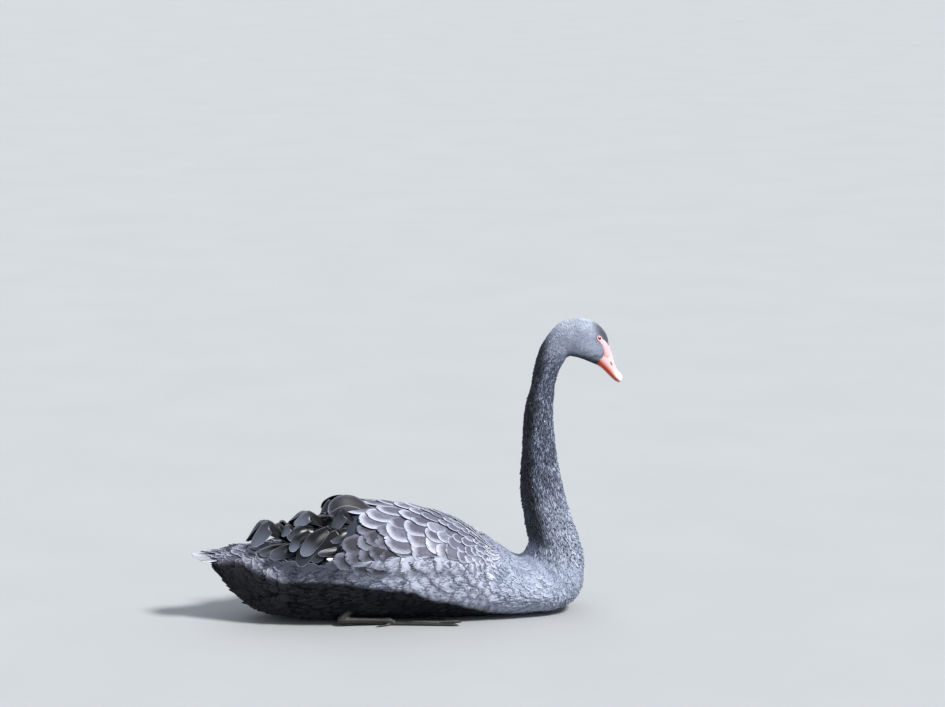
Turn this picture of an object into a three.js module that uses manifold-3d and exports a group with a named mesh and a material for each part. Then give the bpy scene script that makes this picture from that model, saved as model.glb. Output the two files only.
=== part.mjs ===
// A black swan as a still, life-size model: it sits on its belly with its neck raised and its wings folded.
// Millimetres. +X points forward (to the bill), +Y to the bird's left, +Z up.
// The origin lies at the centre of the flat under the belly, on the floor.

import * as THREE from 'three';
import { mergeVertices } from 'three/addons/utils/BufferGeometryUtils.js';
import Module from 'manifold-3d';

const wasm = await Module();
wasm.setup();

// Driving dimensions
const GAP = 0.3;                  // clearance between touching parts
const KEEP_OUT = GAP * 1.2;       // how far a part stays off the form that it lies on
const BODY_SIDES = 28;            // facets round the trunk
const BODY_RINGS = 24;
const NECK_SIDES = 20;            // facets round the neck
const NECK_RINGS = { lower: 8, middle: 6, upper: 12 };
const HEAD_SIDES = 28;            // facets round the head
const HEAD_RINGS = 21;
const ROUND_SIDES = 12;           // facets round an eye or a lid
const EYE = { x: 407.9, z: 546, radius: 6.2, stand: 2.4 };
const MOUTH_LINE = 904.8;         // the mouth lies on the slanted plane x + z = this value
const FLOOR = 0;
const FLATNESS = 0.05;            // facets closer to flat than this are joined
const DETAIL_SIDES = 10;          // facets round a nostril or the nail of the bill
const LIMB_SIDES = 8;             // facets round a toe or a leg bone
const TAIL_SIDES = 14;            // facets round the core of the tail

const vec = (x, y, z) => new THREE.Vector3(x, y, z);
const mix = (a, b, t) => a + (b - a) * t;
const clamp = (value, low, high) => Math.min(high, Math.max(low, value));
const smoothstep = (a, b, x) => {
  const t = clamp((x - a) / (b - a), 0, 1);
  return t * t * (3 - 2 * t);
};

// A value at a fractional place along a list, on a smooth curve through the listed values
function along(values, place) {
  const i = clamp(Math.floor(place), 0, values.length - 2);
  const t = place - i;
  const p1 = values[i];
  const p2 = values[i + 1];
  const p0 = values[i - 1] ?? 2 * p1 - p2;
  const p3 = values[i + 2] ?? 2 * p2 - p1;
  return p1 + 0.5 * t * (p2 - p0 + t * (2 * p0 - 5 * p1 + 4 * p2 - p3 + t * (3 * (p1 - p2) + p3 - p0)));
}

// Closed solids from rings of points

function solidFromTriangles(points, triangles) {
  let volume = 0;
  for (const [a, b, c] of triangles) {
    volume += points[a].dot(points[b].clone().cross(points[c]));
  }
  const outward = volume > 0 ? triangles : triangles.map(([a, b, c]) => [a, c, b]);
  return new wasm.Manifold(new wasm.Mesh({
    numProp: 3,
    vertProperties: new Float32Array(points.flatMap((p) => [p.x, p.y, p.z])),
    triVerts: new Uint32Array(outward.flat()),
  }));
}

// The squares between two rings are split alike on the bird's left and right
function solidFromRings(rings) {
  const sides = rings[0].length;
  const points = rings.flat();
  const triangles = [];
  for (let r = 0; r + 1 < rings.length; r += 1) {
    for (let s = 0; s < sides; s += 1) {
      const a = r * sides + s;
      const b = r * sides + (s + 1) % sides;
      if (s < sides / 2) {
        triangles.push([a, b, a + sides], [b, b + sides, a + sides]);
      } else {
        triangles.push([a, b, b + sides], [a, b + sides, a + sides]);
      }
    }
  }
  for (const [ring, start] of [[rings[0], 0], [rings.at(-1), points.length - sides]]) {
    const centre = ring.reduce((sum, p) => sum.add(p), vec(0, 0, 0)).divideScalar(sides);
    const middle = points.push(centre) - 1;
    for (let s = 0; s < sides; s += 1) {
      const edge = [start + s, start + (s + 1) % sides];
      triangles.push(start === 0 ? [edge[1], edge[0], middle] : [edge[0], edge[1], middle]);
    }
  }
  return solidFromTriangles(points, triangles);
}

function solidFromGeometry(geometry) {
  const bare = geometry.clone();
  bare.deleteAttribute('normal');
  bare.deleteAttribute('uv');
  const merged = mergeVertices(bare, 1e-4);
  return new wasm.Manifold(new wasm.Mesh({
    numProp: 3,
    vertProperties: new Float32Array(merged.attributes.position.array),
    triVerts: new Uint32Array(merged.index.array),
  }));
}

function ellipsoid(centre, radii, turnY = 0, sides = 16) {
  const geometry = new THREE.SphereGeometry(1, sides, Math.round(sides * 0.6));
  geometry.scale(radii.x, radii.y, radii.z);
  geometry.rotateY(turnY);
  geometry.translate(centre.x, centre.y, centre.z);
  return solidFromGeometry(geometry);
}

// The largest closed surface of a node, without the walls of sealed hollows
function largest(solid) {
  const pieces = solid.decompose();
  return pieces.reduce((best, piece) => (piece.volume() > best.volume() ? piece : best));
}

const mirrorY = (solid) => solid.mirror([0, 1, 0]);
const union = (solids) => solids.reduce((sum, solid) => sum.add(solid));

// The flesh: one smooth form from the root of the tail to the root of the bill.
// Each station is a slice across the body, from a point on the bird's upper or back line
// to a point on its under or front line, with half its width and how much fuller its low side is.

const STATIONS = [
  { name: 'tail root', back: [-345, 140], front: [-348, 87], half: 40, full: 0 },
  { name: 'rump', back: [-310, 147], front: [-308, 42], half: 60, full: 0 },
  { name: 'hips', back: [-260, 148], front: [-262, 14], half: 86, full: 0 },
  { name: 'loins', back: [-180, 166], front: [-180, 1], half: 114, full: 0 },
  { name: 'rear back', back: [-80, 194], front: [-78, -4], half: 133, full: 0 },
  { name: 'middle back', back: [20, 202], front: [25, -5], half: 140, full: 0 },
  { name: 'front back', back: [110, 180], front: [125, -5], half: 136, full: 0.04 },
  { name: 'shoulders', back: [180, 149], front: [215, -4], half: 126, full: 0.08 },
  { name: 'crop low', back: [215, 125], front: [275, -1], half: 115, full: 0.12 },
  { name: 'crop', back: [238, 110], front: [325, 6], half: 103, full: 0.16 },
  { name: 'breast low', back: [250, 106], front: [360, 25], half: 92, full: 0.2 },
  { name: 'breast', back: [258, 110], front: [376, 53], half: 79, full: 0.22 },
  { name: 'breast high', back: [266, 119], front: [379, 90], half: 66, full: 0.2 },
  { name: 'neck root', back: [271, 137], front: [375, 123], half: 55, full: 0.14 },
  { name: 'neck base', back: [267, 158], front: [366, 153], half: 48, full: 0.08 },
  { name: 'neck low', back: [261, 192], front: [353, 190], half: 41, full: 0 },
  { name: 'neck quarter', back: [254, 248], front: [338, 244], half: 35, full: 0 },
  { name: 'neck middle', back: [257, 318], front: [325, 312], half: 30, full: 0 },
  { name: 'neck high', back: [262, 399], front: [318, 390], half: 24.5, full: 0 },
  { name: 'neck bend low', back: [274, 448], front: [321, 447], half: 21.5, full: 0 },
  { name: 'neck bend', back: [280, 481], front: [325, 466], half: 21.5, full: 0 },
  { name: 'neck top', back: [290, 518], front: [330, 481], half: 22, full: 0 },
  { name: 'nape', back: [306, 548], front: [338, 496], half: 24, full: 0 },
  { name: 'back of head', back: [331, 574], front: [345, 506], half: 26, full: 0 },
  { name: 'crown', back: [360, 583.5], front: [352, 509], half: 28, full: 0.06 },
  { name: 'cheek', back: [386, 582], front: [360, 508], half: 28, full: 0.14 },
  { name: 'eye', back: [409, 571], front: [374, 504], half: 25, full: 0.18 },
  { name: 'forehead', back: [425, 552], front: [392, 496.5], half: 21, full: 0.16 },
  { name: 'bill root', back: [431, 530], front: [404, 491], half: 17, full: 0.05 },
];
const station = (name) => STATIONS.findIndex((entry) => entry.name === name);
const SQUARENESS = 2.25;          // 2 is a true ellipse

function sliceAt(place, swell = 0) {
  const get = (pick) => along(STATIONS.map(pick), place);
  const back = vec(get((s) => s.back[0]), 0, get((s) => s.back[1]));
  const front = vec(get((s) => s.front[0]), 0, get((s) => s.front[1]));
  const up = back.clone().sub(front).normalize();
  return {
    centre: back.clone().add(front).multiplyScalar(0.5),
    up,
    forward: vec(up.z, 0, -up.x),
    tall: back.distanceTo(front) / 2 + swell,
    half: get((s) => s.half) + swell,
    full: get((s) => s.full),
  };
}

// A point on the flesh: angle 0 is the back line, a quarter turn is the bird's left side
function fleshPoint(place, angle, swell = 0) {
  const slice = sliceAt(place, swell);
  const bow = (value) => Math.sign(value) * Math.abs(value) ** (2 / SQUARENESS);
  const rise = bow(Math.cos(angle));
  const reach = bow(Math.sin(angle)) * slice.half * (1 - slice.full * rise);
  const point = slice.centre.clone().addScaledVector(slice.up, rise * slice.tall);
  point.y = reach;
  point.z = Math.max(point.z, FLOOR - swell);
  return point;
}

function fleshRing(place, sides, swell = 0, shift = 0) {
  const { forward } = sliceAt(place);
  return Array.from({ length: sides }, (_, s) => {
    const point = fleshPoint(place, (2 * Math.PI * s) / sides, swell).addScaledVector(forward, shift);
    point.z = Math.max(point.z, FLOOR - swell);
    return point;
  });
}

function fleshBetween(from, to, sides, rings, swell = 0) {
  const list = [];
  for (let r = 0; r <= rings; r += 1) {
    let shift = 0;
    if (r === 0) shift = from === 0 ? 0 : GAP / 2 - swell;
    if (r === rings) shift = -GAP / 2 + swell;
    list.push(fleshRing(mix(from, to, r / rings), sides, swell, shift));
  }
  return solidFromRings(list);
}

function neck(from, to, rings, swell = 0) {
  return fleshBetween(station(from), station(to), NECK_SIDES, rings, swell);
}

// Bill: one form from its root to its tip, parted along the mouth

const BILL_STATIONS = [
  { back: [431, 530], front: [404, 491], half: 17 },
  { back: [438.5, 507.5], front: [415, 484.5], half: 15 },
  { back: [443.5, 490.5], front: [426.5, 473.5], half: 13.6 },
  { back: [449, 478], front: [437, 463], half: 13 },
  { back: [455, 471], front: [446, 455.5], half: 12 },
  { back: [458.5, 463.5], front: [452.5, 453.5], half: 8 },
  { back: [458, 459.5], front: [455.5, 455.5], half: 3 },
];
const BILL_SIDES = 18;
const BILL_RINGS = 14;
const BILL_FULLNESS = 0.12;       // how much wider the lower half of the bill is than its upper half

function billForm() {
  const rings = [];
  for (let r = 0; r <= BILL_RINGS; r += 1) {
    const place = ((BILL_STATIONS.length - 1) * r) / BILL_RINGS;
    const get = (pick) => along(BILL_STATIONS.map(pick), place);
    const back = vec(get((s) => s.back[0]), 0, get((s) => s.back[1]));
    const front = vec(get((s) => s.front[0]), 0, get((s) => s.front[1]));
    const up = back.clone().sub(front).normalize();
    const forward = vec(up.z, 0, -up.x);
    const centre = back.clone().add(front).multiplyScalar(0.5);
    const tall = back.distanceTo(front) / 2;
    rings.push(Array.from({ length: BILL_SIDES }, (_, s) => {
      const angle = (2 * Math.PI * s) / BILL_SIDES;
      const low = 1 - BILL_FULLNESS * Math.cos(angle);
      const point = centre.clone().addScaledVector(up, Math.cos(angle) * tall);
      point.addScaledVector(forward, r === 0 ? GAP / 2 : 0);
      point.y = Math.sin(angle) * get((e) => e.half) * low;
      return point;
    }));
  }
  return solidFromRings(rings);
}

const MOUTH_NORMAL = [Math.SQRT1_2, 0, Math.SQRT1_2];
const NOSTRIL = { x: 434, out: 13.2, z: 492.5, long: 5, deep: 3, tall: 1.9, tilt: 1.05 };
const NAIL = { x: 454.2, z: 466.2, long: 8, wide: 7, thick: 4, tilt: 0.95 };

function upperBill() {
  let solid = billForm().trimByPlane(MOUTH_NORMAL, MOUTH_LINE * Math.SQRT1_2 + GAP / 2);
  const nailSize = vec(NAIL.long, NAIL.wide, NAIL.thick);
  solid = solid.add(ellipsoid(vec(NAIL.x, 0, NAIL.z), nailSize, NAIL.tilt, DETAIL_SIDES));
  for (const side of [-1, 1]) {
    const place = vec(NOSTRIL.x, side * NOSTRIL.out, NOSTRIL.z);
    const size = vec(NOSTRIL.long, NOSTRIL.deep, NOSTRIL.tall);
    solid = solid.subtract(ellipsoid(place, size, NOSTRIL.tilt, DETAIL_SIDES));
  }
  return largest(solid).simplify(FLATNESS);
}

function lowerBill() {
  const down = MOUTH_NORMAL.map((value) => -value);
  return largest(billForm().trimByPlane(down, -(MOUTH_LINE * Math.SQRT1_2 - GAP / 2)));
}

// Head, with sockets and lids

const SEARCH = { step: 0.02, firstAngle: 0.3, lastAngle: 2.4, reach: 0.05 };

// The place on the left side of the head that lies at a given x and z, with the outward direction there
function onHeadSide(x, z) {
  let best = { miss: Infinity };
  for (let place = station('cheek'); place <= station('bill root'); place += SEARCH.step) {
    for (let angle = SEARCH.firstAngle; angle < SEARCH.lastAngle; angle += SEARCH.step) {
      const point = fleshPoint(place, angle);
      const miss = Math.hypot(point.x - x, point.z - z);
      if (miss < best.miss) best = { miss, place, angle, point };
    }
  }
  const { place, angle } = best;
  const { reach } = SEARCH;
  const ahead = fleshPoint(place + reach, angle).sub(fleshPoint(place - reach, angle));
  const round = fleshPoint(place, angle + reach).sub(fleshPoint(place, angle - reach));
  const out = ahead.cross(round).normalize();
  return { point: best.point, out: out.y > 0 ? out : out.negate() };
}

const eyePlace = onHeadSide(EYE.x, EYE.z);

function eyeBall(side, swell = 0) {
  const radius = EYE.radius + swell;
  const centre = eyePlace.point.clone().addScaledVector(eyePlace.out, EYE.stand - EYE.radius);
  centre.y *= side;
  return ellipsoid(centre, vec(radius, radius, radius), 0, ROUND_SIDES);
}

const LID = { ring: 6.2, roll: 1.7, long: 1.12, tall: 0.94, sides: 6 };

function lidRing() {
  const geometry = new THREE.TorusGeometry(LID.ring, LID.roll, LID.sides, ROUND_SIDES);
  geometry.scale(LID.long, LID.tall, 1);
  const toBill = vec(BILL_STATIONS[1].back[0] - EYE.x, 0, BILL_STATIONS[1].back[1] - EYE.z);
  const across = eyePlace.out.clone().cross(toBill).normalize();
  const long = across.clone().cross(eyePlace.out);
  geometry.applyMatrix4(new THREE.Matrix4().makeBasis(long, across, eyePlace.out));
  geometry.translate(eyePlace.point.x, eyePlace.point.y, eyePlace.point.z);
  return solidFromGeometry(geometry);
}

function headSolid() {
  let solid = fleshBetween(station('nape'), station('bill root'), HEAD_SIDES, HEAD_RINGS);
  solid = solid.add(lidRing()).add(mirrorY(lidRing()));
  solid = solid.subtract(eyeBall(1, GAP)).subtract(eyeBall(-1, GAP));
  return largest(solid).simplify(FLATNESS);
}

// Legs, folded beside the belly, with the webbed feet flat on the floor

const LEG = {
  knee: vec(-62, 84, 74),
  ankle: vec(-122, 101, 13),
  foot: vec(-26, 106, 9),
  shank: 9,                       // half thickness of the feathered shank where it leaves the body
  bone: 6,                        // half thickness of the bare leg bone
};
// The inner, the middle and the outer toe
const TOES = [
  { length: 104, turn: -0.17, half: 4.6 },
  { length: 130, turn: 0.03, half: 5.2 },
  { length: 124, turn: 0.23, half: 4.8 },
];
const HIND_TOE = { length: 24, turn: 2.75, half: 3.2 };
const TOE = {
  taper: 0.72,                    // breadth at the claw, as a share of the breadth at the root
  waist: 0.84,                    // breadth between two knuckles, as a share of theirs
  sunk: 0.85,                     // height of its middle line, as a share of its half breadth
};
const CLAW = { length: 13, high: 0.62, half: 0.45, tipHigh: 1.2, tipHalf: 0.7 };
const WEB = { thick: 2.4, dip: 0.8, reach: 0.86, heel: 4 };

// A round limb through a list of centres, each with its own half thickness
function limb(centres, halves) {
  const rings = centres.map((centre, i) => {
    const before = centres[Math.max(0, i - 1)];
    const after = centres[Math.min(centres.length - 1, i + 1)];
    const run = after.clone().sub(before).normalize();
    const across = vec(-run.y, run.x, 0).normalize();
    const up = run.clone().cross(across).negate();
    return Array.from({ length: LIMB_SIDES }, (_, s) => {
      const angle = (2 * Math.PI * s) / LIMB_SIDES;
      const point = centre.clone().addScaledVector(across, Math.cos(angle) * halves[i]);
      point.addScaledVector(up, Math.sin(angle) * halves[i]);
      point.z = Math.max(point.z, FLOOR);
      return point;
    });
  });
  return solidFromRings(rings);
}

function toeSolid(start, toe, knuckles) {
  const run = vec(Math.cos(toe.turn), Math.sin(toe.turn), 0);
  const centres = [];
  const halves = [];
  const steps = knuckles * 2;
  for (let i = 0; i <= steps; i += 1) {
    const t = i / steps;
    const half = toe.half * mix(1, TOE.taper, t) * (i % 2 === 0 ? 1 : TOE.waist);
    centres.push(start.clone().addScaledVector(run, toe.length * t).setZ(half * TOE.sunk));
    halves.push(half);
  }
  const last = centres.at(-1);
  const tip = start.clone().addScaledVector(run, toe.length + CLAW.length);
  centres.push(last.clone().lerp(tip, 0.5).setZ(toe.half * CLAW.high), tip.setZ(CLAW.tipHigh));
  halves.push(toe.half * CLAW.half, CLAW.tipHalf);
  return limb(centres, halves);
}

function webSolid(start) {
  const edge = [start.clone().add(vec(-WEB.heel, -WEB.heel, 0))];
  TOES.forEach((toe, i) => {
    const at = (turn, reach) => start.clone().add(vec(Math.cos(turn) * reach, Math.sin(turn) * reach, 0));
    edge.push(at(toe.turn, toe.length * WEB.reach));
    const next = TOES[i + 1];
    if (!next) return;
    for (const t of [0.25, 0.5, 0.75]) {
      const reach = mix(toe.length, next.length, t) * WEB.reach;
      const dip = 1 - (1 - WEB.dip) * Math.sin(Math.PI * t);
      edge.push(at(mix(toe.turn, next.turn, t), reach * dip));
    }
  });
  edge.push(start.clone().add(vec(-WEB.heel, WEB.heel, 0)));
  const low = edge.map((p) => p.clone().setZ(FLOOR));
  const high = edge.map((p) => p.clone().setZ(WEB.thick));
  const points = [...low, ...high];
  const count = edge.length;
  const triangles = [];
  for (let i = 0; i < count; i += 1) {
    const j = (i + 1) % count;
    triangles.push([i, j, i + count], [j, j + count, i + count]);
  }
  const flat = THREE.ShapeUtils.triangulateShape(edge.map((p) => new THREE.Vector2(p.x, p.y)), []);
  for (const [a, b, c] of flat) {
    triangles.push([a, c, b], [a + count, b + count, c + count]);
  }
  return solidFromTriangles(points, triangles);
}

function legSolid(swell = 0) {
  const grow = (halves) => halves.map((half) => half + swell);
  const shank = limb(
    [LEG.knee, LEG.knee.clone().lerp(LEG.ankle, 0.55), LEG.ankle],
    grow([LEG.shank * 1.5, LEG.shank * 1.1, LEG.bone + 1.5]),
  );
  const bone = limb(
    [LEG.ankle.clone().add(vec(-7, 0, 0)), LEG.ankle, LEG.ankle.clone().lerp(LEG.foot, 0.3),
      LEG.ankle.clone().lerp(LEG.foot, 0.8), LEG.foot, LEG.foot.clone().add(vec(9, 0, -3))],
    grow([LEG.bone * 0.7, LEG.bone + 1.6, LEG.bone, LEG.bone * 0.92, LEG.bone * 1.15, LEG.bone * 0.7]),
  );
  const start = LEG.foot.clone();
  const toes = TOES.map((toe) => toeSolid(start, { ...toe, half: toe.half + swell }, 2));
  const hind = toeSolid(start.clone().add(vec(4, 2, 0)), { ...HIND_TOE, half: HIND_TOE.half + swell }, 1);
  return largest(union([shank, bone, webSolid(start), ...toes, hind])).simplify(FLATNESS);
}

// Wings: a folded wing lies on the upper side of the trunk, from the shoulder to over the rump

const WING = {
  front: 196,
  // x, height of the top line, half width, height of the widest line
  plan: [
    { x: 196, top: 141, half: 108, wide: 104 },
    { x: 126, top: 184, half: 136, wide: 114 },
    { x: 60, top: 208, half: 146, wide: 120 },
    { x: -10, top: 222, half: 149, wide: 124 },
    { x: -80, top: 227, half: 147, wide: 127 },
    { x: -150, top: 220, half: 137, wide: 132 },
    { x: -220, top: 200, half: 112, wide: 136 },
    { x: -284, top: 160, half: 66, wide: 140 },
  ],
  turn: 1.62,                     // how far the wing wraps down, in radians from the top
  squareness: 2.2,                // 2 is a true ellipse
};

function wingSlice(x) {
  const plan = WING.plan;
  const i = plan.findIndex((entry, n) => n + 1 < plan.length && x >= plan[n + 1].x);
  const t = i < 0 ? plan.length - 2 : i;
  const place = t + (plan[t].x - x) / (plan[t].x - plan[t + 1].x);
  return {
    top: along(plan.map((e) => e.top), place),
    half: along(plan.map((e) => e.half), place),
    wide: along(plan.map((e) => e.wide), place),
  };
}

function wingPoint(x, wrap, lift = 0) {
  const { top, half, wide } = wingSlice(x);
  const angle = wrap * WING.turn;
  const bow = (value) => Math.sign(value) * Math.abs(value) ** (2 / WING.squareness);
  return vec(x, bow(Math.sin(angle)) * (half + lift), wide + bow(Math.cos(angle)) * (top - wide + lift));
}

const WING_RINGS = 12;
const WING_WRAPS = 7;
const VANE = { rootThick: 1.2, tipThick: 0.6 };
const CORE = { depth: 5, fall: 46, fallFrom: -140, fallTo: -262, rear: -262 };
const ROOT_SINK = 2.6;            // how far a vane's root lies under the face of its core
const TIP_LIFT = 1.6;             // how far the tip of a vane stands off the wing

const coreLift = (x) => -CORE.depth - CORE.fall * smoothstep(-CORE.fallFrom, -CORE.fallTo, -x);

// The body of the wing under its vanes, from the shoulder back to where it runs out on the rump
function wingCore() {
  const rings = [];
  for (let r = 0; r <= WING_RINGS; r += 1) {
    const x = mix(WING.front, CORE.rear, r / WING_RINGS);
    const ring = [];
    for (let w = 0; w <= WING_WRAPS; w += 1) {
      ring.push(wingPoint(x, w / WING_WRAPS, coreLift(x)));
    }
    const { wide, half, top } = wingSlice(x);
    ring.push(vec(x, half * 0.55, mix(wide, top, 0.05)), vec(x, 0, mix(wide, top, 0.2)));
    rings.push(ring);
  }
  return solidFromRings(rings);
}

const trunkKeepOut = fleshBetween(0, station('neck root'), BODY_SIDES, BODY_RINGS, KEEP_OUT);
const neckKeepOut = neck('neck root', 'neck quarter', NECK_RINGS.lower, KEEP_OUT);

// A feather vane: a thin curved blade from its root to its rounded tip.
// Each cross-section has a left edge, a shaft line and a right edge, on an upper and a lower face,
// and both faces are split into triangles alike.
function vaneSolid(sections) {
  const points = sections.flat();
  const triangles = [];
  for (let i = 0; i + 1 < sections.length; i += 1) {
    for (let k = 0; k < 6; k += 1) {
      const a = i * 6 + k;
      const b = i * 6 + (k + 1) % 6;
      const lowerFace = k === 3 || k === 4;
      if (lowerFace) {
        triangles.push([a, b, b + 6], [a, b + 6, a + 6]);
      } else {
        triangles.push([a, b, a + 6], [b, b + 6, a + 6]);
      }
    }
  }
  for (const start of [0, points.length - 6]) {
    const cap = [[0, 1, 5], [1, 4, 5], [1, 2, 4], [2, 3, 4]];
    for (const [a, b, c] of cap) {
      triangles.push(start === 0 ? [start + a, start + c, start + b] : [start + a, start + b, start + c]);
    }
  }
  return solidFromTriangles(points, triangles);
}

// Half the breadth of a vane from root to tip, as a share of its full half breadth
function vaneBreadth(s) {
  const base = mix(0.42, 1, smoothstep(0, 0.45, s));
  const round = Math.sqrt(Math.max(0.1, 1 - Math.max(0, (s - 0.6) / 0.4) ** 2));
  return base * round;
}

// How high a vane stands over its surface: it leaves its root, may hump, and ends at its tip
function vaneLift(vane, s) {
  const slope = mix(-vane.sink, vane.tip, s ** 0.55);
  const hump = Math.sin(Math.PI * s * s);
  return slope + (vane.rise ?? 0) * hump;
}

// A vane laid over a surface. surface(vane, s, across, lift) gives the place at a share s of its length.
// roll lifts the edge that lies over the next vane, and cup bends both edges down.
function vaneOn(surface, vane) {
  const sections = [];
  for (let i = 0; i <= vane.steps; i += 1) {
    const s = 1 - (1 - i / vane.steps) ** 1.7;
    const half = vane.half * vaneBreadth(s);
    const lift = vaneLift(vane, s);
    const thick = mix(VANE.rootThick, VANE.tipThick, s);
    const drop = vane.cup * Math.sin(Math.PI * mix(0.25, 0.85, s));
    const places = [[-1, -vane.roll - drop], [0, 0], [1, vane.roll - drop]];
    const upper = places.map(([edge, offset]) => surface(vane, s, edge * half, lift + offset));
    const lower = places.map(([edge, offset]) => surface(vane, s, edge * half, lift + offset - thick));
    sections.push([...upper, ...lower.reverse()]);
  }
  return vaneSolid(sections);
}

// A place on a wing vane: a share of its length from the root, a distance across it and a lift off the wing
function onWing(vane, s, across, lift) {
  const run = vane.length * s;
  const x = vane.x - run * Math.cos(vane.slant) + across * Math.sin(vane.slant);
  const { half, top, wide } = wingSlice(x);
  const girth = WING.turn * (half + top - wide) / 2;
  const wrap = vane.wrap + (run * Math.sin(vane.slant) + across * Math.cos(vane.slant)) / girth;
  return wingPoint(x, wrap, lift);
}

// Tiers of vanes on the wing, from the shoulder to the wing quills: where the roots lie, how many,
// and their sizes. raised gives the tip lift of the first vanes, next to the middle of the back.
const WING_TIERS = [
  { x: 160, from: 0.2, to: 0.7, count: 3, length: 66, half: 31 },
  { x: 110, from: 0.15, to: 0.8, count: 4, length: 78, half: 33 },
  { x: 56, from: 0.13, to: 0.86, count: 5, length: 84, half: 31 },
  { x: 2, from: 0.14, to: 0.87, count: 5, length: 88, half: 32 },
  { x: -50, from: 0.15, to: 0.87, count: 5, length: 84, half: 31, raised: [14, 8] },
  { x: -104, from: 0.62, to: 0.9, count: 3, length: 112, half: 24 },
];
const TIER = { slant: 0.1, roll: 1.8, cup: 0.6, bow: 12, stagger: 8 };
const CURLED = [
  { x: -108, wrap: 0.2, length: 72, half: 22, rise: 12, tip: 12, slant: 0 },
  { x: -112, wrap: 0.44, length: 72, half: 21, rise: 10, tip: 10, slant: 0.1 },
  { x: -148, wrap: 0.18, length: 80, half: 21, rise: 18, tip: 13, slant: 0.02 },
  { x: -146, wrap: 0.44, length: 78, half: 20, rise: 16, tip: 10, slant: 0.1 },
  { x: -188, wrap: 0.2, length: 86, half: 21, rise: 26, tip: 24, slant: -0.04 },
  { x: -182, wrap: 0.52, length: 80, half: 20, rise: 22, tip: 18, slant: 0.02 },
];
const CURL = { roll: 1.5, cup: 5, steps: 5 };
const PRIMARIES = [
  { x: -150, wrap: 0.74, length: 116, tip: -16 },
  { x: -145, wrap: 0.84, length: 102, tip: -18 },
];
const PRIMARY = { half: 12, slant: -0.22, roll: 0.5, cup: 0.5 };

function wingVanes() {
  const vanes = [];
  const lay = (vane) => vanes.push(vaneOn(onWing, { sink: ROOT_SINK - coreLift(vane.x), steps: 3, ...vane }));
  for (const primary of PRIMARIES) {
    lay({ ...primary, ...PRIMARY });
  }
  for (const tier of WING_TIERS) {
    for (let i = 0; i < tier.count; i += 1) {
      const wrap = mix(tier.from, tier.to, i / (tier.count - 1));
      const x = tier.x - TIER.bow * Math.sin(Math.PI * wrap) - (i % 2 === 0 ? 0 : TIER.stagger);
      const tip = tier.raised?.[i] ?? TIP_LIFT;
      lay({ ...TIER, x, wrap, length: tier.length, half: tier.half, tip });
    }
  }
  for (const curl of CURLED) {
    lay({ ...curl, ...CURL });
  }
  return vanes;
}

function wingSolid() {
  const whole = union([wingCore(), ...wingVanes()]);
  const cleared = whole.trimByPlane([0, 1, 0], GAP / 2).subtract(trunkKeepOut).subtract(neckKeepOut);
  return largest(cleared).simplify(FLATNESS);
}

// Tail: a short core, quills fanned from a point inside the rump, and coverts over and under them

const TAIL = {
  pivot: -288,
  rootRadius: 62,
  tipRadius: 118.3,
  quills: 11,
  spread: 0.5,
  half: 11.5,
  high: 133.6,
  fall: 0.9,                      // how much lower each quill lies than the one before it
  shorter: 9,                     // how much shorter the outermost quills are
  droop: 0.0016,
};
const TAIL_CORE = [
  { back: [-345.3, 139], front: [-348.3, 88], half: 39 },
  { back: [-356, 138], front: [-357, 108], half: 38 },
  { back: [-366, 137], front: [-366, 124], half: 35 },
];
const CORE_RINGS = 4;

function tailCore() {
  const rings = [];
  for (let r = 0; r <= CORE_RINGS; r += 1) {
    const place = ((TAIL_CORE.length - 1) * r) / CORE_RINGS;
    const get = (pick) => along(TAIL_CORE.map(pick), place);
    rings.push(Array.from({ length: TAIL_SIDES }, (_, s) => {
      const angle = (2 * Math.PI * s) / TAIL_SIDES;
      const t = (1 + Math.cos(angle)) / 2;
      return vec(
        mix(get((e) => e.front[0]), get((e) => e.back[0]), t),
        Math.sin(angle) * get((e) => e.half),
        mix(get((e) => e.front[1]), get((e) => e.back[1]), t),
      );
    }));
  }
  return solidFromRings(rings);
}

// A place on a tail vane, in a fan round the pivot; the fan droops towards its sides
function onFan(vane, s, across, lift) {
  const turn = vane.turn;
  const radius = mix(vane.from / Math.cos(turn), vane.to, s);
  const x = TAIL.pivot - radius * Math.cos(turn) - across * Math.sin(turn);
  const y = radius * Math.sin(turn) - across * Math.cos(turn);
  const droop = TAIL.droop * y * y;
  return vec(x, y, vane.high + (vane.slope ?? 0) * s - droop + lift * (vane.under ? -1 : 1));
}

const TAIL_COVERTS = [
  { count: 4, from: 62, to: 98, spread: 0.36, half: 15, high: 136, slope: 0.4, fall: 1.2, under: false },
  { count: 4, from: 64, to: 101, spread: 0.32, half: 15, high: 124.2, slope: 4, fall: 0.9, under: true },
  { count: 3, from: 62, to: 92, spread: 0.26, half: 15, high: 104, slope: 18, fall: 0.9, under: true },
];

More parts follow.
